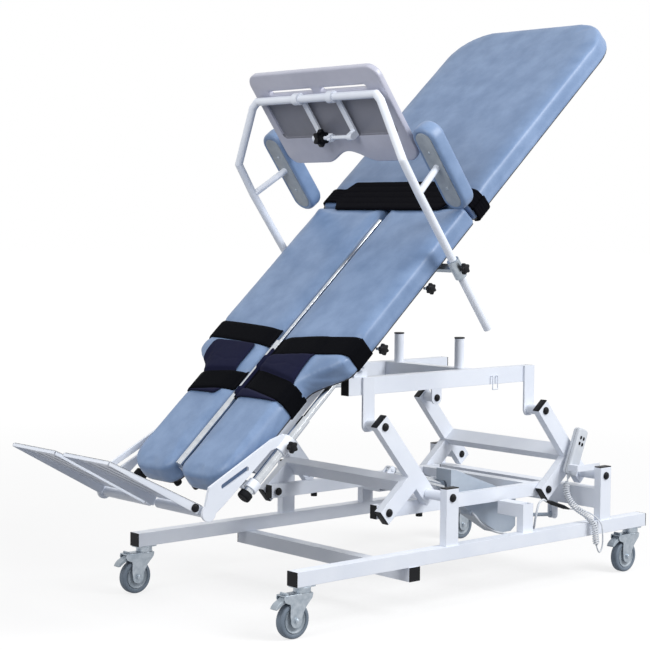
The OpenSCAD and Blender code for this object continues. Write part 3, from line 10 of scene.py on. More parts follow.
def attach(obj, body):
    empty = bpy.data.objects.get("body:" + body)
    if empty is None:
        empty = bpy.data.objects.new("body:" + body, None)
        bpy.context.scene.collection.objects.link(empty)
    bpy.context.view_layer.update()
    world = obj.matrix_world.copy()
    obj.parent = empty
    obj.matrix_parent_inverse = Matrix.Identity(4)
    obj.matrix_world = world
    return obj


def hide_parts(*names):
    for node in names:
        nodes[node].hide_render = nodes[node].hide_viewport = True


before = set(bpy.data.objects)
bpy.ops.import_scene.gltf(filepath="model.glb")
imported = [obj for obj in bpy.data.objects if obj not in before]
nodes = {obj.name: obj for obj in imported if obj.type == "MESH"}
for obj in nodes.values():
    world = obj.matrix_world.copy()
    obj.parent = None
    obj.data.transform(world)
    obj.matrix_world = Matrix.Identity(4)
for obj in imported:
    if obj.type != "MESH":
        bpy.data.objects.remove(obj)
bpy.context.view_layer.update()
scene = bpy.context.scene
print("frame loaded:", len(nodes), "nodes")

# Sizes are in millimetres, in the part's own frame: X from the feet to the head, Y from left to right, Z up
tiltAxis = {"x": -84, "z": 700, "restTilt": 41.9}
millimetre = 0.001


def metres(point):
    return Vector(point) * millimetre


def placed(matrix, point):
    return metres(matrix @ Vector(point))


def shifted(x, y, z):
    return Matrix.Translation((x, y, z))


def rotated(degrees, axis):
    return Matrix.Rotation(math.radians(degrees), 4, axis)


def addedObject(name, data):
    piece = bpy.data.objects.new(name, data)
    scene.collection.objects.link(piece)
    return piece


# Frames that pieces are drawn in, as matrices in millimetres
tableFrame = shifted(tiltAxis["x"], 0, tiltAxis["z"]) @ rotated(-tiltAxis["restTilt"], "Y")
trayBar = {"s": 495, "n": 585, "lean": 5.33}
trayTurn = rotated(trayBar["lean"], "Y")
trayFrame = tableFrame @ shifted(trayBar["s"], 0, trayBar["n"]) @ trayTurn
plateHinge = {"s": -680, "n": 127, "angle": 112}
plateFrame = tableFrame @ shifted(plateHinge["s"], 0, plateHinge["n"]) @ rotated(-plateHinge["angle"], "Y")
# These stand a flat outline up, with its face along X or against Y
faceX = Matrix(((0, 0, 1, 0), (1, 0, 0, 0), (0, 1, 0, 0), (0, 0, 0, 1)))
faceY = Matrix(((1, 0, 0, 0), (0, 0, -1, 0), (0, 1, 0, 0), (0, 0, 0, 1)))
sides = {"left": -1, "right": 1}


# Camera: a long lens, at table height, from the front left corner

viewpoint = {"lens": 95.41, "place": (-3.4248, -3.8007, 1.1228), "turn": -41.54, "tip": 86.39, "roll": 0.5}
cameraData = bpy.data.cameras.new("studioCamera")
cameraData.lens = viewpoint["lens"]
camera = addedObject("studioCamera", cameraData)
camera.matrix_world = (shifted(*viewpoint["place"]) @ rotated(viewpoint["turn"], "Z")
                       @ rotated(viewpoint["tip"], "X") @ rotated(viewpoint["roll"], "Z"))
scene.camera = camera


# Materials

def linearColour(hexText):
    parts = [int(hexText[i:i + 2], 16) / 255 for i in (1, 3, 5)]
    return tuple(p / 12.92 if p <= 0.04045 else ((p + 0.055) / 1.055) ** 2.4 for p in parts) + (1,)


def addNode(tree, kind, settings=None, links=None):
    node = tree.nodes.new("ShaderNode" + kind)
    for name, value in (settings or {}).items():
        if isinstance(name, int) or name in node.inputs:
            node.inputs[name].default_value = value
        else:
            setattr(node, name, value)
    for name, source in (links or {}).items():
        tree.links.new(source, node.inputs[name])
    return node


def startMaterial(name, look, coordinates="Object"):
    material = bpy.data.materials.new(name)
    material.use_nodes = True
    tree = material.node_tree
    shader = tree.nodes["Principled BSDF"]
    for socket, value in look.items():
        shader.inputs[socket].default_value = value
    return material, tree, shader, addNode(tree, "TexCoord").outputs[coordinates]


def grainOf(tree, place, size, settings):
    # noise whose patches are this large in millimetres
    texture = addNode(tree, "TexNoise", {"Scale": 1 / (size * millimetre), **settings}, {"Vector": place})
    return texture.outputs["Fac"]


def mixed(tree, one, two, share):
    # colour between two tones
    settings = {"Color1": linearColour(one), "Color2": linearColour(two)}
    return addNode(tree, "MixRGB", settings, {"Fac": share})


def mottle(tree, shader, place, one, two, size, detail=3):
    # colour that drifts between two close tones over patches of this size in millimetres
    patches = grainOf(tree, place, size, {"Detail": detail, "Roughness": 0.55})
    share = addNode(tree, "MapRange", {"From Min": 0.34, "From Max": 0.66}, {"Value": patches})
    mix = mixed(tree, one, two, share.outputs["Result"])
    tree.links.new(mix.outputs["Color"], shader.inputs["Base Color"])
    return mix


def roundedEdges(tree, edge):
    return addNode(tree, "Bevel", {"samples": 4, "Radius": edge * millimetre}).outputs["Normal"]


def relief(tree, shader, height, strength, depth, edge=None):
    # shallow bumps of this depth, on edges rounded by this radius
    links = {"Height": height}
    if edge:
        links["Normal"] = roundedEdges(tree, edge)
    bump = addNode(tree, "Bump", {"Strength": strength, "Distance": depth * millimetre}, links)
    tree.links.new(bump.outputs["Normal"], shader.inputs["Normal"])


def unevenGloss(tree, shader, source, low, high):
    gloss = addNode(tree, "MapRange", {"To Min": low, "To Max": high}, {"Value": source})
    tree.links.new(gloss.outputs["Result"], shader.inputs["Roughness"])


def paintedSteel(name, one, two, roughness, edge):
    # epoxy powder baked on steel: satin, faint orange peel, edges softly rounded by the coat
    material, tree, shader, place = startMaterial(name, {"Roughness": roughness, "IOR": 1.5})
    mottle(tree, shader, place, one, two, 190)
    peel = grainOf(tree, place, 2.2, {"Detail": 2})
    relief(tree, shader, peel, 0.05, 0.4, edge)
    unevenGloss(tree, shader, peel, roughness - 0.05, roughness + 0.07)
    return material


def plainMetal(name, one, two, roughness, grain, edge):
    # plated or polished metal: mirror-like with a fine grain that blurs it unevenly
    material, tree, shader, place = startMaterial(name, {"Metallic": 1, "Roughness": roughness})
    mottle(tree, shader, place, one, two, 14)
    scratches = grainOf(tree, place, grain, {"Detail": 4, "Roughness": 0.7})
    unevenGloss(tree, shader, scratches, roughness * 0.7, roughness * 1.5)
    tree.links.new(roundedEdges(tree, edge), shader.inputs["Normal"])
    return material


def mouldedPlastic(name, one, two, roughness, grain, depth, edge, patch=60, shine=0.5):
    # injection moulded plastic or rubber: even colour, fine spark-eroded grain, rounded mould edges
    look = {"Roughness": roughness, "IOR": 1.5, "Specular IOR Level": shine}
    material, tree, shader, place = startMaterial(name, look)
    mottle(tree, shader, place, one, two, patch)
    texture = grainOf(tree, place, grain, {"Detail": 3, "Roughness": 0.6})
    relief(tree, shader, texture, 0.35, depth, edge)
    unevenGloss(tree, shader, texture, roughness - 0.06, roughness + 0.08)
    return material


vinylLook = {"light": "#8099be", "dark": "#6d87ad", "cell": 1.9, "patch": 75, "crease": 22,
             "roughness": 0.42}


def upholsteryVinyl():
    # PVC leathercloth, embossed: satin, small pebble grain drawn at 1.9 mm so that it shows, cloudy tone
    look = vinylLook
    settings = {"Roughness": look["roughness"], "IOR": 1.52}
    material, tree, shader, place = startMaterial("embossedVinyl", settings)
    tone = mottle(tree, shader, place, look["light"], look["dark"], look["patch"], 5)
    pebble = addNode(tree, "TexVoronoi", {"feature": "SMOOTH_F1", "Scale": 1 / (look["cell"] * millimetre)},
                     {"Vector": place}).outputs["Distance"]
    crease = grainOf(tree, place, look["crease"], {"Detail": 6, "Roughness": 0.65, "Distortion": 0.6})
    height = addNode(tree, "Math", {"operation": "MULTIPLY_ADD", 1: 2.2}, {0: crease, 2: pebble})
    relief(tree, shader, height.outputs["Value"], 0.28, 0.5)
    unevenGloss(tree, shader, crease, look["roughness"] - 0.08, look["roughness"] + 0.1)
    # painted shade: the colour is darkened a little in the low dimples of the pebble grain
    dimpleShade = addNode(tree, "MixRGB", {"blend_type": "MULTIPLY", "Fac": 0.12},
                   {"Color1": tone.outputs["Color"], "Color2": pebble})
    tree.links.new(dimpleShade.outputs["Color"], shader.inputs["Base Color"])
    return material


def wovenBand(name, one, two, thread, sheen, roughness, depth):
    # woven polyester or nylon: ribs run across the band, seen as fine rows; drawn from the band's own lengths
    look = {"Roughness": roughness, "IOR": 1.5, "Sheen Weight": sheen, "Sheen Roughness": 0.5,
            "Specular IOR Level": 0.02}
    material, tree, shader, place = startMaterial(name, look, "UV")
    rows, columns = [
        addNode(tree, "TexWave", {"bands_direction": way, "Scale": 0.314 / (pitch * millimetre),
                                  "Distortion": 0.4, "Detail": 1}, {"Vector": place}).outputs["Color"]
        for way, pitch in (("X", thread), ("Y", thread * 1.6))]
    weave = addNode(tree, "MixRGB", {"blend_type": "MULTIPLY", "Fac": 0.6},
                    {"Color1": rows, "Color2": columns}).outputs["Color"]
    fluff = grainOf(tree, place, 9, {"Detail": 4})
    share = addNode(tree, "MixRGB", {"Fac": 0.45}, {"Color1": weave, "Color2": fluff})
    mix = mixed(tree, one, two, share.outputs["Color"])
    relief(tree, shader, weave, 0.5, depth)
    tree.links.new(mix.outputs["Color"], shader.inputs["Base Color"])
    return material


whiteSteel = paintedSteel("powderCoatedSteel", "#e9eef7", "#e1e7f2", 0.36, 1.6)
chrome = plainMetal("chromedSteel", "#d4d8dd", "#c3c8cf", 0.16, 0.8, 0.8)
zinc = plainMetal("zincPlatedSteel", "#b3bbc3", "#9ba5af", 0.36, 1.2, 1)
blackPlastic = mouldedPlastic("blackPolyamide", "#101116", "#0a0b0f", 0.45, 0.7, 0.12, 1.2, shine=0.16)
blackRubber = mouldedPlastic("blackRubber", "#131418", "#0d0e11", 0.68, 1.1, 0.25, 1.5, shine=0.12)
padBoard = mouldedPlastic("laminatedBoard", "#232428", "#1b1c20", 0.55, 1.5, 0.1, 1)
castorNylon = mouldedPlastic("castorNylon", "#a9b3bc", "#9ba6b0", 0.4, 0.9, 0.1, 1)
greyTread = mouldedPlastic("greyTreadRubber", "#768290", "#6c7885", 0.6, 1.2, 0.15, 1)
motorPlastic = mouldedPlastic("actuatorHousingPlastic", "#b4bfcc", "#a9b5c4", 0.44, 0.8, 0.12, 1.6)
handsetPlastic = mouldedPlastic("handsetPlastic", "#d0d5dc", "#c6ccd4", 0.42, 0.6, 0.08, 1)
trayPlastic = mouldedPlastic("trayPlastic", "#babccb", "#afb1c1", 0.3, 1, 0.06, 2, 120)
cordSheath = mouldedPlastic("softCordSheath", "#d3d7dd", "#c9ced5", 0.48, 0.9, 0.05, 0.5)
# darker plastic for the tray's back recess: painted shade, standing in for the shadow inside the recess
trayRecessShade = mouldedPlastic("trayRecessPaintedShade", "#7d7f8b", "#73757f", 0.45, 1, 0.06, 2, 120)
armBoard = mouldedPlastic("greyLaminate", "#a8afb5", "#979fa7", 0.5, 2, 0.12, 1, 25)
vinyl = upholsteryVinyl()
webbing = wovenBand("nylonWebbing", "#050609", "#101116", 1.6, 0.01, 0.82, 0.3)
beltCloth = wovenBand("paddedNylonBelt", "#06060a", "#111117", 2.1, 0.01, 0.85, 0.3)
navyCloth = wovenBand("brushedNavyCloth", "#181a31", "#22243c", 1.3, 0.03, 0.88, 0.2)
print("materials made")


# Small tools that make meshes

@contextmanager
def editedMesh(mesh):
    # the mesh in a form that can be worked on, written back when the block ends
    edited = bmesh.new()
    edited.from_mesh(mesh)
    yield edited
    edited.to_mesh(mesh)
    edited.free()


def finishPiece(piece, material, body, replaced=(), corner=None):
    # smooth shading keeps edges that turn by more than the corner angle
    piece.data.materials.clear()
    piece.data.materials.append(material)
    if piece.type == "MESH":
        for polygon in piece.data.polygons:
            polygon.use_smooth = True
    if corner:
        with editedMesh(piece.data) as edited:
            for edge in edited.edges:
                edge.smooth = len(edge.link_faces) != 2 or edge.calc_face_angle(0) < math.radians(corner)
    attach(piece, body)
    if replaced:
        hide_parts(*replaced)
    return piece


def meshPiece(name, points, faces):
    mesh = bpy.data.meshes.new(name)
    mesh.from_pydata([tuple(p) for p in points], [], faces)
    mesh.update()
    with editedMesh(mesh) as edited:
        bmesh.ops.recalc_face_normals(edited, faces=edited.faces)
    return addedObject(name, mesh)


def ringLoft(name, rings, matrix, closed=False):
    # skin through rings with the same number of points; the ends are closed with a fan
    count = len(rings[0])
    points = [placed(matrix, p) for ring in rings for p in ring]
    faces = []
    for r in range(len(rings) - (0 if closed else 1)):
        a, b = r * count, ((r + 1) % len(rings)) * count
        faces += [(a + i, a + (i + 1) % count, b + (i + 1) % count, b + i) for i in range(count)]
    if not closed:
        for start in (0, (len(rings) - 1) * count):
            middle = sum((points[start + i] for i in range(count)), Vector()) / count
            points.append(middle)
            faces += [(start + i, start + (i + 1) % count, len(points) - 1) for i in range(count)]
    return meshPiece(name, points, faces)


def turnedPiece(name, profile, matrix, steps=64, ring=False):
    # profile of [radius, height] turned about the local Z axis; a ring has no fans at its ends
    rings = [[(r * math.cos(2 * math.pi * i / steps), r * math.sin(2 * math.pi * i / steps), z)
              for i in range(steps)] for r, z in profile]
    return ringLoft(name, rings, matrix, closed=ring)


def addLoop(curve, points):
    # corners of a flat outline or of a line in space
    spline = curve.splines.new("POLY")
    spline.points.add(len(points) - 1)
    for point, place in zip(spline.points, points):
        point.co = (*place, 0)[:3] + (1,)
    return spline


def plateMesh(name, outline, holes, thickness, edge, matrix):
    # slab with rounded rims cut from a flat outline, with holes; its thickness lies evenly about local Z = 0
    curve = bpy.data.curves.new(name + "Outline", "CURVE")
    curve.dimensions, curve.fill_mode = "2D", "BOTH"
    curve.extrude = thickness / 2 - edge
    curve.bevel_depth, curve.bevel_resolution, curve.offset = edge, 3, -edge
    for loop in [outline] + list(holes):
        addLoop(curve, loop).use_cyclic_u = True
    shape = addedObject(name + "Shape", curve)
    mesh = bpy.data.meshes.new_from_object(shape)
    mesh.name = name
    bpy.data.objects.remove(shape)
    for vertex in mesh.vertices:
        vertex.co = placed(matrix, vertex.co)
    with editedMesh(mesh) as edited:
        bmesh.ops.remove_doubles(edited, verts=edited.verts, dist=0.02 * millimetre)
        bmesh.ops.recalc_face_normals(edited, faces=edited.faces)
    return addedObject(name, mesh)


def joined(name, pieces):
    whole = bmesh.new()
    for piece in pieces:
        whole.from_mesh(piece.data)
    mesh = bpy.data.meshes.new(name)
    whole.to_mesh(mesh)
    whole.free()
    for piece in pieces:
        bpy.data.objects.remove(piece)
    return addedObject(name, mesh)


def setUv(piece, place):
    # place gives the map's point for a vertex number
    layer = piece.data.uv_layers.new(name="UVMap")
    for loop in piece.data.loops:
        layer.data[loop.index].uv = place(loop.vertex_index)


def bakeModifiers(piece):
    graph = bpy.context.evaluated_depsgraph_get()
    mesh = bpy.data.meshes.new_from_object(piece.evaluated_get(graph))
    piece.modifiers.clear()
    piece.data = mesh


def cutBy(piece, cutter):
    modifier = piece.modifiers.new("cut", "BOOLEAN")
    modifier.object, modifier.operation, modifier.solver = cutter, "DIFFERENCE", "EXACT"
    bakeModifiers(piece)
    bpy.data.objects.remove(cutter)


def evenCells(piece, size):
    remesh = piece.modifiers.new("cells", "REMESH")
    remesh.mode, remesh.voxel_size = "VOXEL", size * millimetre
    bakeModifiers(piece)


def refined(piece, levels):
    finer = piece.modifiers.new("finer", "SUBSURF")
    finer.levels = finer.render_levels = levels


def roundedRectangle(width, height, radius, steps=8, centre=(0, 0)):
    points = []
    for turn, (x, y) in enumerate([(1, 1), (-1, 1), (-1, -1), (1, -1)]):
        for i in range(steps + 1):
            angle = math.pi / 2 * (turn + i / steps)
            points.append((centre[0] + x * (width / 2 - radius) + radius * math.cos(angle),
                           centre[1] + y * (height / 2 - radius) + radius * math.sin(angle)))
    return points


def smoothStep(x):
    x = max(0, min(1, x))
    return x * x * (3 - 2 * x)


def catmullRom(points, t):
    # smooth curve through the points; t counts them
    last = len(points) - 1
    i = max(0, min(int(math.floor(t)), last - 1))
    u = t - i
    p1, p2 = points[i], points[i + 1]
    p0 = points[i - 1] if i > 0 else 2 * p1 - p2
    p3 = points[i + 2] if i + 2 <= last else 2 * p2 - p1
    return (2 * p1 + u * (p2 - p0) + u * u * (2 * p0 - 5 * p1 + 4 * p2 - p3)
            + u ** 3 * (3 * p1 - p0 - 3 * p2 + p3)) / 2


def cordCurve(name, points, diameter):
    curve = bpy.data.curves.new(name, "CURVE")
    curve.dimensions = "3D"
    curve.bevel_depth, curve.bevel_resolution, curve.use_fill_caps = diameter / 2, 4, True
    addLoop(curve, points).use_smooth = True
    return addedObject(name, curve)


def lengthOf(points):
    return sum((b - a).length for a, b in zip(points, points[1:]))


def tubeAlong(name, points, radii, around):
    # tube through points in metres, with a radius for each
    count = len(points)
    across = Vector((0, 0, 1))
    rings = []
    for i, centre in enumerate(points):
        ahead = (points[min(i + 1, count - 1)] - points[max(i - 1, 0)]).normalized()
        across = (across - across.dot(ahead) * ahead).normalized()
        other = ahead.cross(across)
        rings.append([(centre + radii[i] * (math.cos(2 * math.pi * k / around) * across
                                            + math.sin(2 * math.pi * k / around) * other)) / millimetre
                      for k in range(around)])
    return ringLoft(name, rings, Matrix.Identity(4))


# Cords: the handset's curly lead, and the actuator's cable, which meet in a connector under the base

handsetCord = {
    "diameter": 4.6, "curlRadius": 8.6, "curlsPerLeg": 5, "stepsPerCurl": 14,
    "startLegs": 0.15, "rampLegs": 0.35,
    "curly": [(698.45, -300, 309.9), (688, -303, 278), (686, -318, 246), (692, -344, 222), (700, -376, 204),
              (708, -398, 178), (714, -402, 144), (720, -402, 110)],
    "plain": [(734, -402, 88), (750, -400, 104), (754, -398, 140), (752, -392, 175), (744, -368, 198),
              (726, -338, 212)],
    "plainSteps": 4,
}
connector = {"end": (694, -310, 216), "start": (585, -310, 252), "radius": 6.5}
motorCable = {
    "diameter": 7, "steps": 4,
    "route": [(371, -201.2, 222), (374, -212, 214), (401, -216, 186), (446, -218, 162), (496, -222, 148),
              (530, -258, 140), (540, -296, 160), (536, -312, 205), (548, -313, 246), (571, -310, 257),
              (585, -310, 252)],
}


def curlyCentres():
    cord = handsetCord
    route = [Vector(p) for p in cord["curly"] + cord["plain"] + [connector["end"]]]
    legs = len(cord["curly"]) - 1
    centres = []
    steps = legs * cord["curlsPerLeg"] * cord["stepsPerCurl"]
    for i in range(steps + 1):
        t = i * legs / steps
        ahead = (catmullRom(route, t + 0.02) - catmullRom(route, t - 0.02)).normalized()
        one = (Vector((1, 0, 0)) - ahead.x * ahead).normalized()
        two = ahead.cross(one)
        size = cord["curlRadius"] * smoothStep(min(t - cord["startLegs"], legs - t) / cord["rampLegs"])
        turn = 2 * math.pi * cord["curlsPerLeg"] * t
        centres.append(catmullRom(route, t) + size * (math.cos(turn) * one + math.sin(turn) * two))
    rest = cord["plainSteps"] * (len(cord["plain"]) + 1)
    centres += [catmullRom(route, legs + i / cord["plainSteps"]) for i in range(1, rest + 1)]
    return [metres(c) for c in centres]


def plainCentres(route, steps):
    points = [Vector(p) for p in route]
    return [metres(catmullRom(points, i / steps)) for i in range(steps * (len(points) - 1) + 1)]


def connectorHalf(name, shares, radii):
    start, end = metres(connector["start"]), metres(connector["end"])
    points = [start.lerp(end, s) for s in shares]
    return tubeAlong(name, points, [r * millimetre for r in radii], 24)


curlyPoints = curlyCentres()
handsetLead = cordCurve("handsetCurlyCord", curlyPoints, handsetCord["diameter"] * millimetre)
cablePoints = plainCentres(motorCable["route"], motorCable["steps"])
actuatorLead = cordCurve("actuatorCable", cablePoints, motorCable["diameter"] * millimetre)
size = connector["radius"]
plugHalf = connectorHalf("cordPlug", [0.5, 0.52, 0.525, 0.78, 0.8, 0.86, 0.93, 1],
                         [size - 1.6, size, size, size, size - 0.8, size - 1.6, size - 2.8, size - 3.6])
socketHalf = connectorHalf("cableSocket", [0, 0.08, 0.16, 0.2, 0.22, 0.46, 0.48, 0.5],
                           [4, 4.4, size - 1.2, size - 0.6, size, size, size - 0.5, size - 1.6])
finishPiece(plugHalf, blackPlastic, "base")
finishPiece(socketHalf, blackPlastic, "base")
finishPiece(handsetLead, cordSheath, "base", ("handset_cord",))
finishPiece(actuatorLead, cordSheath, "base", ("motor_cable",))
print("cords made: %.2f m and %.2f m" % (lengthOf(curlyPoints), lengthOf(cablePoints)))


# Pads of the table

pads = {
    "halfWidth": 325, "head": 1403, "foot": -590, "split": 518, "gap": 0.3, "base": 88.6, "thickness": 64.7,
    "crown": 4, "headCorner": 140, "jointCorner": 14, "slit": 8, "railSlit": 14, "railStep": -72,
    "footInner": 45, "footOuter": 75, "narrow": 217, "stepFrom": -118, "stepLength": 104,
    "cell": 7, "pressure": 4, "bulge": 4, "edge": 15, "frames": 20,
    "waves": ((0.55, 3, 68), (0.275, 9, 27)), "vinyl": 1.5, "mainCentre": 960, "legCentre": 162,
    "topHeight": 157, "rimHeight": 150, "slitHeights": (147, 152.5), "slitY": 15,
}
strapPlaces = [(1, -65, -47, 325), (-1, -102, -66, 325), (1, -235, -262, 217), (-1, -222, -264, 217)]
strapLook = {"halfWidth": 35, "thickness": 3.2, "dent": 3.2, "dentReach": 16, "tuck": 16,
             "sideHeights": (138, 128, 116, 104, 94), "underHeights": (88, 84.5, 83.4, 83.2)}
beltPlace = {"s": 558, "halfWidth": 64, "endHalfWidth": 30, "bodyReach": 236, "thickness": 5.5, "ribs": 5,
             "quilting": 0.12, "dent": 2.6, "dentReach": 22, "side": 326}


def arcPoints(centre, radius, start, end, steps):
    angles = [math.radians(start + (end - start) * i / steps) for i in range(steps + 1)]
    return [(centre[0] + radius * math.cos(a), centre[1] + radius * math.sin(a)) for a in angles]


def legOutline():
    p = pads
    joint = p["split"] - p["gap"]
    corner, half, slit = p["jointCorner"], p["halfWidth"], p["slit"]
    innerCentre = (p["foot"] + p["footInner"], p["railSlit"] + p["footInner"])
    outerCentre = (p["foot"] + p["footOuter"], p["narrow"] - p["footOuter"])
    points = arcPoints(innerCentre, p["footInner"], 180, 270, 10)
    points += [(p["railStep"], p["railSlit"]), (p["railStep"] + 14, slit), (0, slit), (260, slit)]
    points += arcPoints((joint - corner, slit + corner), corner, 270, 360, 5)
    points += arcPoints((joint - corner, half - corner), corner, 0, 90, 5)
    points += [(260, half), (0, half)]
    points += [(p["stepFrom"] - p["stepLength"] * i / 12,
                half - (half - p["narrow"]) * (1 - math.cos(math.pi * i / 12)) / 2) for i in range(13)]
    return points + arcPoints(outerCentre, p["footOuter"], 90, 180, 12)


def mainOutline():
    p = pads
    joint = p["split"] + p["gap"]
    half, small, corner = p["halfWidth"], p["jointCorner"], p["headCorner"]
    points = arcPoints((joint + small, -half + small), small, 180, 270, 5)
    points += [(900, -half)] + arcPoints((p["head"] - corner, -half + corner), corner, 270, 360, 16)
    points += [(p["head"], 0)] + arcPoints((p["head"] - corner, half - corner), corner, 0, 90, 16)
    points += [(900, half)] + arcPoints((joint + small, half - small), small, 90, 180, 5)
    return points + [(joint, 0)]


def drawnIn(outline, depth):
    result = []
    count = len(outline)
    for i in range(count):
        before, after = Vector(outline[i - 1]), Vector(outline[(i + 1) % count])
        along = (after - before).normalized()
        result.append((outline[i][0] - depth * along.y, outline[i][1] + depth * along.x))
    return result


def cushionRings(outline, centre, thickness, crown, edge):
    # rings from the underside up a slightly bulging side, round the edge and over the crown
    profile = [(7, 0), (2.5, 2.5), (0.6, 8), (0, thickness * 0.4), (0.4, thickness - edge * 1.05)]
    profile += [(edge * (1 - math.cos(a)), thickness - edge + edge * math.sin(a))
                for a in [math.pi / 2 * i / 6 for i in range(1, 7)]]
    rings = [[(*p, h) for p in drawnIn(outline, inset)] for inset, h in profile]
    x, y = centre
    top = rings[-1]
    for share in (0.86, 0.68, 0.48, 0.26, 0.1):
        height = thickness + crown * (1 - share ** 2)
        rings.append([(x + (p[0] - x) * share, y + (p[1] - y) * share, height) for p in top])
    return rings


def puffUp(piece):
    # foam under a tight cover: even small cells, air pressure for a few frames, then a limit on every move
    p = pads
    evenCells(piece, p["cell"])
    inverse = tableFrame.inverted()
    start = [v.co.copy() for v in piece.data.vertices]
    held = piece.vertex_groups.new(name="held")
    low = [i for i, v in enumerate(start) if (inverse @ (v / millimetre)).z < p["base"] + 9]
    held.add(low, 1, "REPLACE")
    cloth = piece.modifiers.new("cover", "CLOTH")
    cloth.settings.use_pressure = True
    cloth.settings.uniform_pressure_force = p["pressure"]
    cloth.settings.vertex_group_mass = "held"
    cloth.settings.effector_weights.gravity = 0
    cloth.settings.quality = 4
    cloth.point_cache.frame_end = p["frames"]
    for step in range(1, p["frames"] + 1):
        scene.frame_set(step)
    bakeModifiers(piece)
    scene.frame_set(1)
    limit = p["bulge"] * millimetre
    for vertex, begun in zip(piece.data.vertices, start):
        move = vertex.co - begun
        if move.length > limit:
            vertex.co = begun + move.normalized() * limit
    piece.vertex_groups.clear()


def besideStraps(s, y):
    # for each strap on this side: share of its way out, and distance from its rim
    for side, inner, outer, edge in strapPlaces:
        if y * side >= 0:
            share = min(1, abs(y) / edge)
            yield share, abs(s - (inner + (outer - inner) * share)) - strapLook["halfWidth"]


def strapDent(s, y):
    # how far the straps and the belt press the pads in at a place on the table
    depth = 0
    for share, away in besideStraps(s, y):
        fade = 1 - smoothStep(away / strapLook["dentReach"])
        depth = max(depth, strapLook["dent"] * (1 + 0.7 * share ** 6) * fade)
    belt = beltPlace
    away = abs(s - belt["s"]) - (belt["halfWidth"] if abs(y) < belt["bodyReach"] else belt["endHalfWidth"])
    return max(depth, belt["dent"] * (1 - smoothStep(away / belt["dentReach"])))


def shapeTop(piece, low, high, limits):
    # dents under the straps and slow unevenness of hand-laid foam, kept inside the solid's own box
    inverse = tableFrame.inverted()
    for vertex in piece.data.vertices:
        local = inverse @ (vertex.co / millimetre)
        share = smoothStep((local.z - high + 32) / 24)
        if share > 0:
            wave = sum(height * noise.noise(Vector((local.x, local.y, seed)) / width)
                       for height, seed, width in pads["waves"])
            local.z += share * (wave - strapDent(local.x, local.y))
        local.z = max(low, min(high, local.z))
        local.x = max(limits[0], min(limits[1], local.x))
        vertex.co = placed(tableFrame, local)


def padPiece(name, outline, centre, limits, nodeName):
    p = pads
    rings = cushionRings(outline, centre, p["thickness"] - p["vinyl"], p["crown"] - p["vinyl"], p["edge"])
    piece = ringLoft(name, rings, tableFrame @ shifted(0, 0, p["base"]))
    puffUp(piece)
    shapeTop(piece, p["base"], p["base"] + p["thickness"] + p["crown"], limits)
    for _ in range(2):
        with editedMesh(piece.data) as edited:
            bmesh.ops.smooth_vert(edited, verts=edited.verts, factor=0.5, use_axis_x=True, use_axis_y=True,
                                  use_axis_z=True)
    refined(piece, 1)
    finishPiece(piece, vinyl, "table", (nodeName,))
    return piece


legOutlineRight = legOutline()
legOutlineLeft = [(s, -y) for s, y in reversed(legOutlineRight)]
legLimits = (pads["foot"], pads["split"] - pads["gap"])
mainPad = padPiece("mainPad", mainOutline(), (pads["mainCentre"], 0),
                   (pads["split"] + pads["gap"], pads["head"]), "main_pad")
rightLegPad = padPiece("legPadRight", legOutlineRight, (0, pads["legCentre"]), legLimits, "leg_pads")
leftLegPad = padPiece("legPadLeft", legOutlineLeft, (0, -pads["legCentre"]), legLimits, "leg_pads")
print("pads made")


# Straps that lie on the pads

def treeOf(*pieces):
    points, faces = [], []
    for piece in pieces:
        base = len(points)
        points += [v.co.copy() for v in piece.data.vertices]
        faces += [[base + i for i in polygon.vertices] for polygon in piece.data.polygons]
    return BVHTree.FromPolygons(points, faces)


padTree = treeOf(mainPad, rightLegPad, leftLegPad)
tableUp = (tableFrame.to_3x3() @ Vector((0, 0, 1))).normalized()


def topAt(tree, s, y, fallback):
    hit = tree.ray_cast(placed(tableFrame, (s, y, 260)), -tableUp)[0]
    return (tableFrame.inverted() @ (hit / millimetre)).z if hit else fallback


def topAcross(tree, s, y, half, fallback):
    # highest place under the width of a band and a little nearer to the middle, so that it covers corners
    inward = -5 if y > 0 else 5
    return max(topAt(tree, s + reach, y + step, fallback)
               for reach in (-half, -half / 2, 0, half / 2, half) for step in (0, inward))


def sideAt(tree, s, n, side, fallback):
    hit = tree.ray_cast(placed(tableFrame, (s, side * 400, n)), Vector((0, -side, 0)))[0]
    return abs(hit.y) / millimetre if hit else fallback


def bandMesh(name, path, halfWidths, thickness, matrix, ribs=0, cells=10, quilting=0):
    # flat band along a path of (along, across, height) with rounded hems; lengths go to the UV map in metres
    places = [Vector(p) for p in path]
    count = len(places)
    section = []
    for k in range(cells + 1):
        share = -1 + 2 * k / cells
        hem = math.sqrt(max(0, 1 - max(0, abs(share) - 0.86) ** 2 / 0.14 ** 2))
        seam = abs(math.cos(math.pi * ribs * (share + 1) / 2)) ** 8 if ribs else 0
        section.append((share, thickness * (0.35 + 0.65 * hem) * (1 - quilting * seam)))
    rings, walked, lengths = [], 0, []
    for i, place in enumerate(places):
        before, after = places[max(i - 1, 0)], places[min(i + 1, count - 1)]
        run = after - before
        lift = Vector((0, -run.z, run.y)).normalized()
        if i:
            walked += (place - places[i - 1]).length
        lengths.append(walked)
        width = halfWidths[i]
        top = [place + Vector((width * share, 0, 0)) + lift * high for share, high in section]
        bottom = [place + Vector((width * share, 0, 0)) for share, high in reversed(section)]
        rings.append(top + bottom)
    piece = ringLoft(name, rings, matrix)
    shares = [share for share, high in section]
    flat = [(walk * millimetre, width * share * millimetre)
            for walk, width in zip(lengths, halfWidths) for share in shares + shares[::-1]]
    setUv(piece, lambda index: flat[min(index, len(flat) - 1)])
    return piece


def smoothPath(path):
    points = [Vector(p) for p in path]
    middle = [tuple((a + 2 * b + c) / 4) for a, b, c in zip(points, points[1:], points[2:])]
    return [path[0]] + middle + [path[-1]]


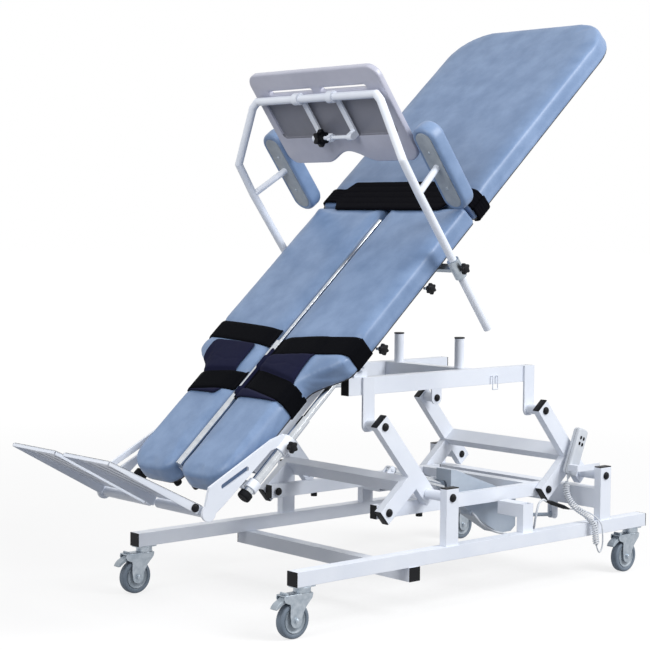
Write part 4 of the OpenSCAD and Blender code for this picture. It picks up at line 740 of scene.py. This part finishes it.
def strapPath(tree, side, innerS, outerS, edge):
    # from the slit between the leg pads over the pad, down its side and a little way under it
    look = strapLook
    reach = look["halfWidth"]
    start = pads["slitY"]
    path = [(innerS, side * y, n) for y, n in zip((start, start + 1.5), pads["slitHeights"])]
    for y in range(start + 8, edge - 10, 6):
        s = innerS + (outerS - innerS) * y / edge
        path.append((s, side * y, topAcross(tree, s, side * y, reach - 3, pads["topHeight"]) + 0.5))
    for y in (edge - 8, edge - 4.5, edge - 2):
        path.append((outerS, side * y, topAcross(tree, outerS, side * y, reach - 3, pads["rimHeight"]) + 0.6))
    for n in look["sideHeights"]:
        out = max(sideAt(tree, outerS + along, n, side, edge) for along in (-reach, 0, reach))
        path.append((outerS, side * (min(max(out, edge - 3), edge + 8) + 0.8), n))
    for past, n in zip((0.5, -3, -8, -look["tuck"]), look["underHeights"]):
        path.append((outerS, side * (edge + past), n))
    return smoothPath(path)


kneePads = {"s": -200, "y": {"left": -107, "right": 160}, "size": (206, 192), "corner": 20, "thickness": 9,
            "crown": 3, "edge": 4, "cell": 3.2, "rim": 9, "foldS": -172, "foldDepth": 0.7, "foldWidth": 3.5,
            "pressed": 0.72, "fadeReach": 9, "waveHeight": 0.6, "waveWidth": 26}


def legHalfWidth(s):
    share = smoothStep((pads["stepFrom"] - s) / pads["stepLength"])
    return pads["halfWidth"] + (pads["narrow"] - pads["halfWidth"]) * share


def strapCover(s, y):
    # 1 where a strap lies over this place, falling to 0 beside it
    return max(1 - smoothStep(away / kneePads["fadeReach"]) for _, away in besideStraps(s, y))


def kneePad(word, side):
    # flat quilted cushion that follows the leg pad and is pressed thin where the straps cross it
    look = kneePads
    centre = (look["s"], look["y"][word])
    outline = roundedRectangle(*look["size"], look["corner"], 8, centre)
    rings = cushionRings(outline, centre, look["thickness"], look["crown"], look["edge"])
    piece = ringLoft("kneePad" + word.title(), rings, Matrix.Identity(4))
    evenCells(piece, look["cell"])
    for vertex in piece.data.vertices:
        s, y, n = vertex.co / millimetre
        inner = abs(centre[1]) - look["size"][1] / 2
        outer = min(abs(centre[1]) + look["size"][1] / 2, legHalfWidth(s) - look["rim"])
        y = side * (inner + (abs(y) - inner) * (outer - inner) / look["size"][1])
        cover = strapCover(s, y)
        away = s - look["foldS"] + 5 * math.sin(y / 17)
        fold = look["foldDepth"] * math.exp(-(away / look["foldWidth"]) ** 2) * (n > look["edge"])
        uneven = noise.noise(Vector((s, y, 5)) / look["waveWidth"])
        wave = look["waveHeight"] * uneven * n / look["thickness"]
        height = max(0, n * (1 - look["pressed"] * cover) - fold + wave * (1 - cover))
        vertex.co = placed(tableFrame, (s, y, topAt(padTree, s, y, 155) + 0.3 + height))
    inverse = tableFrame.inverted()
    flat = [metres((inverse @ (vertex.co / millimetre)).xy) for vertex in piece.data.vertices]
    setUv(piece, lambda index: flat[index])
    finishPiece(piece, navyCloth, "table", ("knee_pads",))
    return piece


kneePieces = [kneePad(word, side) for word, side in sides.items()]
overTree = treeOf(mainPad, rightLegPad, leftLegPad, *kneePieces)
for number, (side, innerS, outerS, edge) in enumerate(strapPlaces):
    word = ("upper" if number < 2 else "lower") + ("Right" if side > 0 else "Left")
    path = strapPath(overTree, side, innerS, outerS, edge)
    strap = bandMesh(word + "LegStrap", path, [strapLook["halfWidth"]] * len(path), strapLook["thickness"],
                     tableFrame)
    finishPiece(strap, webbing, "table", ("leg_straps",))


def hipBelt():
    look = beltPlace
    s, side = look["s"], look["side"]
    half = [(s, y, topAt(padTree, s, y, pads["topHeight"]) + 0.6) for y in range(0, 312, 6)]
    half += [(s, y, topAt(padTree, s, y, pads["rimHeight"]) + 0.7) for y in (side - 11, side - 7, side - 4)]
    half += [(s, side, n) for n in strapLook["sideHeights"]]
    half += [(s, side + past, n) for past, n in zip((-0.5, -4, -10, -21), strapLook["underHeights"])]
    path = [(s, -y, n) for s, y, n in reversed(half[1:])] + half
    widths = [look["endHalfWidth"] + (look["halfWidth"] - look["endHalfWidth"])
              * smoothStep((look["bodyReach"] + 14 - abs(p[1])) / 26) for p in path]
    belt = bandMesh("hipBelt", smoothPath(path), widths, look["thickness"], tableFrame, look["ribs"], 60,
                    look["quilting"])
    finishPiece(belt, beltCloth, "table", ("hip_belt",))


hipBelt()
print("straps and belt made")


# Arm pads: a board with a foam pad whose cover is folded round onto the back

armPad = {"s": 497, "y": 332, "n": 307, "width": 88, "length": 285, "radius": 43, "fold": 15,
          "screwY": 62, "crown": 1.6, "rippleWidth": 30}


def armPadPieces(word, side):
    look = armPad
    place = tableFrame @ shifted(look["s"], side * look["y"], look["n"]) @ trayTurn @ faceX
    outline = roundedRectangle(look["width"], look["length"], look["radius"], 14)
    profile = [(look["fold"], -6.5), (look["fold"] - 1.5, -8.6), (10, -9), (5, -7.6), (1.6, -3.5), (0.3, 2),
               (0, 10), (0, 26), (1, 33), (4.5, 39), (9.5, 42.5), (16, 44.4)]
    rings = [[(*p, h) for p in drawnIn(outline, inset)] for inset, h in profile]
    rim, top = rings[-1], profile[-1][1]
    for share in (0.78, 0.5, 0.2):
        rings.append([(x * share, y * share, top + look["crown"] * (1 - share)) for x, y, _ in rim])
    foam = ringLoft("armPadFoam" + word.title(), rings, place)
    for vertex in foam.data.vertices:
        ripple = noise.noise(vertex.co / (look["rippleWidth"] * millimetre)) * 0.5 * millimetre
        vertex.co += Vector((ripple, 0, ripple * 0.4))
    refined(foam, 2)
    finishPiece(foam, vinyl, "tray_support", ("arm_pads",))
    board = plateMesh("armPadBoard" + word.title(), drawnIn(outline, look["fold"] + 0.6), [], 4, 1,
                      place @ shifted(0, 0, -7.6))
    finishPiece(board, armBoard, "tray_support", corner=35)
    profile = [(4.6, 0), (4.6, 0.8), (3.8, 1.9), (2.2, 2.5), (1.6, 1.4), (0.3, 1.3)]
    for end, y in (("Low", -look["screwY"]), ("High", look["screwY"])):
        screw = turnedPiece("armPadScrew" + word.title() + end, profile,
                            place @ shifted(0, y, -9.4) @ rotated(180, "X"), 24)
        finishPiece(screw, zinc, "tray_support")


for word, side in sides.items():
    armPadPieces(word, side)
print("arm pads made")


# Tray

tray = {
    "back": 18, "thickness": 20, "top": 80, "length": 320, "width": 566, "corner": 40, "notch": (170, 38),
    "notchRun": 30, "edge": 5.04, "slotZ": 15, "slotY": (20, 212), "slotHeight": 12, "rim": 22, "recess": 5,
    "band": (506, 138), "bandZ": -78, "bandDepth": 9, "paintedShadeBelow": 0,
}


def trayOutline():
    look = tray
    top = look["top"]
    bottom = top - look["length"]
    half, corner = look["width"] / 2, look["corner"]
    points = arcPoints((half - corner, top - corner), corner, 0, 90, 12)
    points += arcPoints((-half + corner, top - corner), corner, 90, 180, 12)
    points += arcPoints((-half + corner, bottom + corner), corner, 180, 270, 12)
    steps = 28
    reach = look["notch"][0] / 2 + look["notchRun"]
    points += [(-reach + 2 * reach * i / steps,
                bottom + look["notch"][1] * 0.5 * (1 + math.cos(math.pi * (2 * i / steps - 1))))
               for i in range(steps + 1)]
    points += arcPoints((half - corner, bottom + corner), corner, 270, 360, 12)
    return points


def trayPiece():
    look = tray
    upright = trayFrame @ shifted(look["back"] + look["thickness"] / 2, 0, 0) @ faceX
    slots = []
    for side in (-1, 1):
        middle = side * sum(look["slotY"]) / 2
        slots.append(roundedRectangle(look["slotY"][1] - look["slotY"][0], look["slotHeight"],
                                      look["slotHeight"] / 2 - 0.2, 8, (middle, look["slotZ"])))
    shell = plateMesh("moulded", trayOutline(), slots, look["thickness"], look["edge"], upright)
    middle = look["top"] - look["length"] / 2 + look["notch"][1] / 2
    width, height = look["width"] - 2 * look["rim"], look["length"] - 2 * look["rim"] - look["notch"][1]
    dish = roundedRectangle(width, height, look["corner"] / 2, 8, (0, middle))
    band = roundedRectangle(*look["band"], 16, 6, (0, look["bandZ"]))
    half = look["thickness"] / 2
    cutBy(shell, plateMesh("dishCut", dish, [], 2 * look["recess"], 2.4, upright @ shifted(0, 0, half)))
    cutBy(shell, plateMesh("bandCut", band, [], 2 * look["bandDepth"], 3, upright @ shifted(0, 0, -half)))
    shell.name = "mouldedTray"
    finishPiece(shell, trayPlastic, "tray_top", ("tray",), 28)
    shell.data.materials.append(trayRecessShade)
    inverse = trayFrame.inverted()
    behind = look["back"] + 1
    across, down = look["band"][0] / 2 + 1, look["bandZ"] - look["band"][1] / 2 - 1
    # faces inside the back recess, below its middle, take the darker plastic: painted shade in the recess
    for polygon in shell.data.polygons:
        local = inverse @ (polygon.center / millimetre)
        inBand = behind < local.x < behind + look["bandDepth"] and abs(local.y) < across
        if inBand and down < local.z < look["paintedShadeBelow"]:
            polygon.material_index = 1


trayPiece()
print("tray made")


# Knobs

knobLook = {"ripple": 0.13, "rim": 3.2, "capShare": 0.52, "capRise": 1.4}


def lobedKnob(name, place, radius, thickness, lobes, body, replaced=()):
    # place: the knob's hub at the origin, its face towards local +Z
    look = knobLook
    outline = []
    for i in range(lobes * 16):
        angle = 2 * math.pi * i / (lobes * 16)
        reach = radius * (1 - look["ripple"] + look["ripple"] * math.cos(lobes * angle))
        outline.append((reach * math.cos(angle), reach * math.sin(angle)))
    head = plateMesh(name + "Head", outline, [], thickness * 0.66, look["rim"],
                     place @ shifted(0, 0, thickness * 0.67))
    inner, rise = radius * look["capShare"], look["capRise"]
    hub = turnedPiece(name + "Hub", [(inner * 0.9, 0), (inner, 1), (inner, thickness * 0.4)], place, 32)
    profile = [(inner, thickness * 0.98), (inner * 0.98, thickness + rise * 0.5),
               (inner * 0.6, thickness + rise), (1, thickness + rise * 1.1)]
    cap = turnedPiece(name + "Cap", profile, place, 32)
    finishPiece(joined(name, [head, hub, cap]), blackPlastic, body, replaced, 40)


def facing(place, x, y, z, side):
    # at this place, facing out to this side
    return place @ shifted(x, side * y, z) @ rotated(-90 * side, "X")


def stud(name, place, reach, body):
    screw = turnedPiece(name, [(knobs["stud"], -reach), (knobs["stud"], 0.5)], place, 20)
    finishPiece(screw, zinc, body)


knobs = {"slide": (-381, 260.3, 70), "clamp": (337.6, 383.3, 70), "fixedS": (-10, 236), "fixedY": 334,
         "fixedN": 84.6, "radius": 17, "thickness": 20, "stud": 4, "tiltPlace": (-6, 38, -135),
         "tiltSize": (27, 26)}
for word, side in sides.items():
    title = word.title()
    for name, at, body, nodeName in (("slide", "slide", "slide_knob_", "slide_knob_"),
                                     ("trayClamp", "clamp", "clamp_knob_", "tray_clamp_knob_")):
        place = facing(tableFrame, *knobs[at], side)
        lobedKnob(name + "Knob" + title, place, knobs["radius"], knobs["thickness"], 5, body + word,
                  (nodeName + word,))
        stud(name + "Stud" + title, place, 5, body + word)
    for number, s in enumerate(knobs["fixedS"], 1):
        place = facing(tableFrame, s, knobs["fixedY"], knobs["fixedN"], side)
        label = title + str(number)
        lobedKnob("legPadKnob" + label, place, knobs["radius"], knobs["thickness"], 6, "table",
                  ("table_fittings",))
        stud("legPadStud" + label, place, 14, "table")
tiltPlace = trayFrame @ shifted(*knobs["tiltPlace"]) @ rotated(-90, "X")
lobedKnob("trayTiltKnob", tiltPlace, *knobs["tiltSize"], 6, "tray_knob", ("tray_tilt_knob",))


# Rubber ends of the side tubes and the feet under the leg pads

rubber = {"s": -575, "radius": 19, "y": 240, "n": 70, "footS": -572, "footY": 42, "footRadius": 11,
          "footTop": 88, "footHeight": 14}


def rubberPieces(word, side):
    look = rubber
    r, height = look["footRadius"], look["footHeight"]
    footProfile = [(r * 0.9, 0), (r, 0.8), (r, height - 4), (r * 0.9, height - 1.2), (r * 0.6, height)]
    r = look["radius"]
    endProfile = [(r * 0.55, 0.6), (r * 0.8, 0), (r * 0.95, 1.6), (r, 4.5), (r, 12), (r * 0.97, 14),
                  (r, 15.5), (r, 18), (r * 0.96, 19.6), (r * 0.84, 20)]
    for name, profile, place, turn, steps in (
            ("tubeEnd", endProfile, (look["s"], side * look["y"], look["n"]), rotated(90, "Y"), 40),
            ("legPadFoot", footProfile, (look["footS"], side * look["footY"], look["footTop"]),
             rotated(180, "X"), 32)):
        rubberPart = turnedPiece(name + word.title(), profile, tableFrame @ shifted(*place) @ turn, steps)
        finishPiece(rubberPart, blackRubber, "table", ("table_fittings",))


for word, side in sides.items():
    rubberPieces(word, side)
print("knobs and rubber parts made")


# Castors

castor = {
    "swivelX": {"foot": -451, "head": 936}, "y": 361, "trail": 33, "wheelRadius": 50, "halfWidth": 13,
    "forkInner": 15, "forkOuter": 18, "crownTop": 122.7, "sheet": 3, "pin": (-55, 108.7),
    "pedalWidth": 26,
}


def castorPieces(word, place):
    look = castor
    trail, radius, half = look["trail"], look["wheelRadius"], look["halfWidth"]
    axle = place @ shifted(-trail, 0, radius) @ rotated(90, "X")
    title = "".join(part.title() for part in word.split("_"))
    profile = [(4.3, -half), (11, -half), (12.5, -half + 0.8), (13.5, -half + 3.6), (29, -half + 4.6),
               (31.5, -half + 2.2), (34, -half + 1), (34.6, -half + 4.6), (36.8, -half + 4.6),
               (37.6, -half + 1)]
    hub = turnedPiece("castorHub" + title, profile + [(r, -y) for r, y in reversed(profile)], axle, 56)
    finishPiece(hub, castorNylon, "wheel_" + word, ("castor_wheel_" + word,), 32)
    tyre = [(37.3, -half + 1.2), (38.6, -half + 0.3), (43, -half), (46.5, -half + 0.8), (48.8, -half + 2.8),
            (49.8, -half + 6), (50, 0)]
    tyre += [(r, -y) for r, y in reversed(tyre[:-1])]
    tread = turnedPiece("castorTyre" + title, tyre, axle, 72, ring=True)
    finishPiece(tread, greyTread, "wheel_" + word)
    cheek = ([(-74, 120.5), (-76, 113), (-72, 104), (-62, 99), (-54, 97), (-53, 90), (-54, 78), (-54, 64)]
             + arcPoints((-trail, radius), 19, 170, 370, 14)
             + [(-12, 60), (-7, 72), (2, 86), (13, 97), (22, 106), (25, 116), (24.5, 120.5)])
    flat = place @ faceY
    y = look["forkInner"] + look["sheet"] / 2
    parts = [plateMesh("cheek" + title, cheek, [], look["sheet"], 1.1, flat @ shifted(0, 0, cheekY))
             for cheekY in (y, -y)]
    edge = [(-74, 18), (-50, 18), (10, 18), (22, 14), (26, 6)]
    crown = [(x, -y) for x, y in edge] + edge[::-1]
    crownPlace = place @ shifted(0, 0, look["crownTop"] - 2.2)
    parts.append(plateMesh("crown" + title, crown, [], 3.6, 1.4, crownPlace))
    race = [(20, 118), (25, 118.6), (26, 120.6), (25.5, 122.4), (12, 122.5)]
    parts.append(turnedPiece("race" + title, race, place, 48))
    finishPiece(joined("castorFork" + title, parts), zinc, "fork_" + word,
                ("castor_fork_" + word,), 34)
    profile = [(9.5, -0.2), (9.5, 1.2), (7.4, 1.4), (7.2, 5.4), (6, 6.2), (4, 6.4), (3.8, 7.6), (2, 8)]
    for name, side, turn, steps in (("Near", -1, 0, 24), ("Far", 1, 180, 6)):
        at = axle @ shifted(0, 0, -side * look["forkOuter"]) @ rotated(turn, "X")
        nut = turnedPiece("axleNut" + title + name, profile, at, steps)
        finishPiece(nut, zinc, "fork_" + word, corner=30)
    x, z = look["pin"]
    pedal = [Vector((x + dx, z + dz, 0)) for dx, dz in (
        (6, -3), (5, 7), (-2, 15), (-9, 20), (-13, 18), (-11, 11), (-15, 4), (-27, -2), (-38, -9),
        (-45, -19), (-44, -22), (-36, -20), (-24, -12), (-12, -8), (-3, -8))]
    smooth = [tuple(catmullRom(pedal + pedal[:1], i / 4))[:2] for i in range(4 * len(pedal))]
    lever = plateMesh("brakePedal" + title, smooth, [], look["pedalWidth"], 2, flat)
    finishPiece(lever, castorNylon, "pedal_" + word, ("brake_pedal_" + word,), 40)


for end, x in castor["swivelX"].items():
    for word, side in sides.items():
        castorPieces(end + "_" + word, shifted(x, side * castor["y"], 0))
print("castors made")


# Handset with its strain relief

handset = {"y": -300, "foot": (703, 321), "angle": 67.7, "length": 152, "width": 45, "thickness": 26,
           "corner": 12, "edge": 5, "rows": (30, 49), "columns": (-7, 7), "button": (10, 6.4),
           "wellGap": 1.2}


def handsetPieces():
    look = handset
    inHandset = shifted(look["foot"][0], look["y"], look["foot"][1]) @ rotated(-look["angle"], "Y")
    flat = inHandset @ faceY
    centre = (look["length"] / 2, 0)
    outline = roundedRectangle(look["length"], look["width"], look["corner"], 8, centre)
    body = plateMesh("handsetBody", outline, [], look["thickness"], look["edge"], flat)
    width, height = [size + look["wellGap"] for size in look["button"]]
    face = flat @ shifted(0, 0, look["thickness"] / 2)
    for x in look["rows"]:
        for z in look["columns"]:
            well = roundedRectangle(width, height, 3, 5, (look["length"] - x, z))
            cutBy(body, plateMesh("buttonWell", well, [], 9, 0.3, face))
    finishPiece(body, handsetPlastic, "base", ("handset",), 30)
    outline = roundedRectangle(look["length"] + 0.5, look["width"] + 0.5, look["corner"], 8, centre)
    finishPiece(plateMesh("handsetSeam", outline, [], 0.8, 0.25, flat), padBoard, "base")
    profile = [(6.6, 3), (6.6, -1), (5.4, -1.6), (5.4, -3), (6, -3.2), (6, -4.6), (4.9, -4.8), (4.9, -6.2),
               (5.4, -6.4), (5.4, -7.8), (4.2, -8), (4, -10.5), (3, -12)]
    sleeve = turnedPiece("handsetStrainRelief", profile, inHandset @ rotated(90, "Y"), 28)
    finishPiece(sleeve, cordSheath, "base", corner=30)


handsetPieces()


# Foot plates: a folded sheet whose side walls taper towards the tip, with drain slots and an anti-slip mat

footPlate = {"inner": 20, "width": 208, "length": 345, "start": 15, "face": -14, "sheet": 2, "mat": 1.4,
             "wall": 3, "deep": 28, "shallow": 11, "slots": 4, "slotRadius": 6, "slotShare": 0.34,
             "barrel": 14, "bore": 8.3, "stopAt": 38}


def footPlatePieces(word, side):
    look = footPlate
    body, title = "plate_" + word, word.title()
    start, length, width, wall = look["start"], look["length"], look["width"], look["wall"]
    middle, half = side * (look["inner"] + width / 2), width / 2
    sheetUnder, tipLow, hingeLow = [look["face"] + look[key] for key in ("mat", "shallow", "deep")]
    slots = []
    for k in range(1, look["slots"] + 1):
        y = side * (look["inner"] + k * width / (look["slots"] + 1))
        slots.append(roundedRectangle(2 * length * look["slotShare"], 2 * look["slotRadius"],
                                      look["slotRadius"] - 0.2, 6, (length / 2, y)))
    outline = roundedRectangle(length - start, width, 4, 4, ((length + start) / 2, middle))
    parts = [plateMesh("sheet", outline, slots, look["sheet"], 0.6,
                       plateFrame @ shifted(0, 0, sheetUnder + look["sheet"] / 2))]
    profile = [(start, sheetUnder), (length, sheetUnder), (length, tipLow), (start, hingeLow)]
    for y in (look["inner"] + wall / 2, look["inner"] + width - wall / 2):
        wallPlace = plateFrame @ shifted(0, side * y, 0) @ faceY
        parts.append(plateMesh("wall", profile, [], wall, 0.9, wallPlace))
    tip = [(sheetUnder, -half), (tipLow, -half), (tipLow, half), (sheetUnder, half)]
    acrossTip = Matrix(((0, 0, 1, 0), (0, 1, 0, 0), (1, 0, 0, 0), (0, 0, 0, 1)))
    parts.append(plateMesh("tip", tip, [], wall, 0.9,
                           plateFrame @ shifted(length - wall / 2, middle, 0) @ acrossTip))
    r, bore = look["barrel"], look["bore"]
    profile = [(bore, -half + 0.6), (r - 1, -half), (r, -half + 1), (r, half - 1), (r - 1, half),
               (bore, half - 0.6)]
    across = plateFrame @ shifted(0, middle, 0) @ rotated(90, "X")
    parts.append(turnedPiece("barrel", profile, across, 48, ring=True))
    finishPiece(joined("footPlate" + title, parts), whiteSteel, body,
                ("foot_plate_" + word,), 30)
    outline = roundedRectangle(length - start - 3, width - 4, 4, 5, ((length + start) / 2, middle))
    mat = plateMesh("footPlateMat" + title, outline, [], look["mat"] - 0.1, 0.5,
                    plateFrame @ shifted(0, 0, look["face"] + look["mat"] / 2))
    finishPiece(mat, blackRubber, body, corner=30)
    profile = [(11, -1), (11.6, 1), (11, 4), (8.5, 6.2), (4, 7.4), (1, 7.6)]
    at = facing(plateFrame, look["stopAt"], look["inner"] + width, 0, side)
    button = turnedPiece("plateStop" + title, profile, at, 36)
    finishPiece(button, blackPlastic, body)


for word, side in sides.items():
    footPlatePieces(word, side)
print("handset and foot plates made")


# Pivots of the lift: domed bolt heads, spacer sleeves and the caps of the crank tubes

pivot = {"front": (105, 319), "rear": (791, 319), "angle": 130, "radius": 271, "arm": (69, 145), "over": 20,
         "armOver": 22, "crankY": (250, 275), "upperY": 200, "bracketY": 206, "linkY": (247, 217),
         "postY": (351, 376), "dome": (12, 8), "sleeve": 15, "tube": (25, 50), "wall": 3, "gap": 0.3}


def boltDome(place, x, y, z, side):
    radius, height = pivot["dome"]
    profile = [(radius - 0.6, -0.4), (radius, 0.4), (radius, 1.4)]
    for i in range(1, 8):
        a = math.pi / 2 * i / 7
        profile.append((max(radius * math.cos(a), 0.6), 1.4 + (height - 1.4) * math.sin(a)))
    return turnedPiece("dome", profile, facing(place, x, y, z, side), 36)


def crankPlace(end):
    x, z = pivot[end]
    return shifted(x, 0, z) @ rotated(-pivot["angle"], "Y")


def sleeveBetween(place, x, z, side, near, far):
    r, length = pivot["sleeve"], far - near
    return turnedPiece("sleeve", [(r - 1, 0), (r, 1), (r, length - 1), (r - 1, length)],
                       facing(place, x, near, z, side), 32)


def tubeCap(place, x, z, side, turn):
    # cap over the end of a crank tube, facing local +X after the turn
    width, depth = pivot["tube"]
    at = place @ shifted(x, side * sum(pivot["crankY"]) / 2, z) @ rotated(turn, "Y") @ faceX
    return plateMesh("cap", roundedRectangle(width, depth, 2.4, 5), [], pivot["wall"], 1.1,
                     at @ shifted(0, 0, pivot["wall"] / 2))


def pivotPieces(end):
    p = pivot
    place, title, body = crankPlace(end), end.title(), end + "_lift"
    flat = shifted(p[end][0], 0, p[end][1])
    inner, outer = p["crankY"]
    gap = p["gap"]
    fixedBlack, fixedWhite, movingBlack, movingWhite = [], [], [], []
    for side in sides.values():
        fixedBlack.append(boltDome(flat, 0, p["postY"][1], 0, side))
        fixedBlack.append(turnedPiece("head", [(11, 0), (12, 0.5), (12, 1.6), (11.4, 2)],
                                      facing(flat, 0, inner - gap - 2, 0, side), 36))
        fixedWhite.append(sleeveBetween(flat, 0, 0, side, outer + gap, p["postY"][0]))
        movingBlack.append(tubeCap(place, p["radius"] + p["over"], 0, side, 0))
        movingBlack.append(tubeCap(place, p["arm"][0], p["arm"][1] + p["armOver"], side, -90))
        for (x, z), back, start in (((p["radius"], 0), p["upperY"], p["bracketY"]),
                                    (p["arm"], p["linkY"][1], p["linkY"][0])):
            movingBlack.append(boltDome(place, x, outer, z, side))
            movingBlack.append(boltDome(place, x, -(back - gap), z, -side))
            movingWhite.append(sleeveBetween(place, x, z, side, start + gap, inner))
    for name, parts, material, owner, replaced in (
            ("postBolts", fixedBlack, blackPlastic, "base", ("lift_pivot_bolts",)),
            ("postSleeves", fixedWhite, whiteSteel, "base", ()),
            ("crankBoltsAndCaps", movingBlack, blackPlastic, body, (end + "_crank_fittings",)),
            ("crankSleeves", movingWhite, whiteSteel, body, ())):
        finishPiece(joined(name + title, parts), material, owner, replaced, 36)


for end in ("front", "rear"):
    pivotPieces(end)
print("pivots made")


# Finishes of the nodes that stay as they are

finishes = {
    "white_paint": whiteSteel, "black_plastic": blackPlastic, "pad_board": padBoard,
    "bright_chrome": chrome, "zinc_grey": zinc, "castor_nylon": castorNylon, "grey_tread": greyTread,
    "actuator_plastic": motorPlastic, "handset_plastic": handsetPlastic, "cord_sheath": cordSheath,
    "tray_plastic": trayPlastic, "blue_vinyl": vinyl, "black_webbing": webbing, "navy_cloth": navyCloth,
}
for name, node in nodes.items():
    for holder in node.material_slots:
        known = holder.material.name.split(".")[0] if holder.material else ""
        if known in finishes:
            holder.material = finishes[known]


# Floor, background and lamps

studio = {"floor": "#f4f4f5", "floorForLight": "#85878d", "floorReach": 40, "skyStrength": 0.56,
          "whiteShare": 0.74, "whiteFrom": 1.6, "whiteTo": 5, "glow": 1.02}
# place, aim, size and power of each lamp
lamps = {"keyLamp": ((1.6, -3.6, 3.6), (0.1, 0, 0.6), 2.4, 190),
         "footLamp": ((-2.6, -0.6, 2.4), (-0.2, 0, 0.7), 1.6, 42)}


def emptyTree(owner):
    owner.use_nodes = True
    owner.node_tree.nodes.clear()
    return owner.node_tree


def seenRays(tree, *kinds):
    # 1 for rays of these kinds, 0 for the rest
    rays = addNode(tree, "LightPath")
    seen = rays.outputs[kinds[0]]
    for kind in kinds[1:]:
        most = addNode(tree, "Math", {"operation": "MAXIMUM"}, {0: seen, 1: rays.outputs[kind]})
        seen = most.outputs["Value"]
    return seen


def studioFloor():
    # pale floor that keeps a faint shadow near the table and turns into the white background further off
    material = bpy.data.materials.new("paleStudioFloor")
    tree = emptyTree(material)
    seen = seenRays(tree, "Is Camera Ray", "Is Glossy Ray")
    place = addNode(tree, "TexCoord").outputs["Object"]
    away = addNode(tree, "VectorMath", {"operation": "LENGTH"}, {0: place})
    fade = addNode(tree, "MapRange", {"From Min": studio["whiteFrom"], "From Max": studio["whiteTo"],
                                      "To Min": studio["whiteShare"], "To Max": 1},
                   {"Value": away.outputs["Value"]})
    share = addNode(tree, "Math", {"operation": "MULTIPLY"}, {0: seen, 1: fade.outputs["Result"]})
    colour = mixed(tree, studio["floorForLight"], studio["floor"], seen)
    paint = addNode(tree, "BsdfDiffuse", {}, {"Color": colour.outputs["Color"]})
    glow = addNode(tree, "Emission", {"Color": (1, 1, 1, 1), "Strength": studio["glow"]})
    mix = addNode(tree, "MixShader", {},
                  {0: share.outputs["Value"], 1: paint.outputs["BSDF"], 2: glow.outputs["Emission"]})
    addNode(tree, "OutputMaterial", {}, {"Surface": mix.outputs["Shader"]})
    reach = studio["floorReach"]
    corners = [(-reach, -reach, 0), (reach, -reach, 0), (reach, reach, 0), (-reach, reach, 0)]
    floor = meshPiece("studioFloor", corners, [(0, 1, 2, 3)])
    floor.data.materials.append(material)


def studioWorld():
    world = bpy.data.worlds.new("studioWorld")
    scene.world = world
    tree = emptyTree(world)
    seen = seenRays(tree, "Is Camera Ray", "Is Glossy Ray", "Is Transmission Ray")
    level = addNode(tree, "MapRange", {"To Min": studio["skyStrength"], "To Max": 1}, {"Value": seen})
    sky = addNode(tree, "Background", {"Color": (1, 1, 1, 1)}, {"Strength": level.outputs["Result"]})
    addNode(tree, "OutputWorld", {}, {"Surface": sky.outputs["Background"]})


def softLamp(name, place, aim, size, power):
    data = bpy.data.lights.new(name, "AREA")
    data.shape, data.size, data.energy = "SQUARE", size, power
    lamp = addedObject(name, data)
    lamp.location = place
    lamp.rotation_euler = (Vector(aim) - Vector(place)).to_track_quat("-Z", "Y").to_euler()


studioFloor()
studioWorld()
for name, settings in lamps.items():
    softLamp(name, *settings)
scene.view_settings.view_transform = "Standard"
print("studio made")
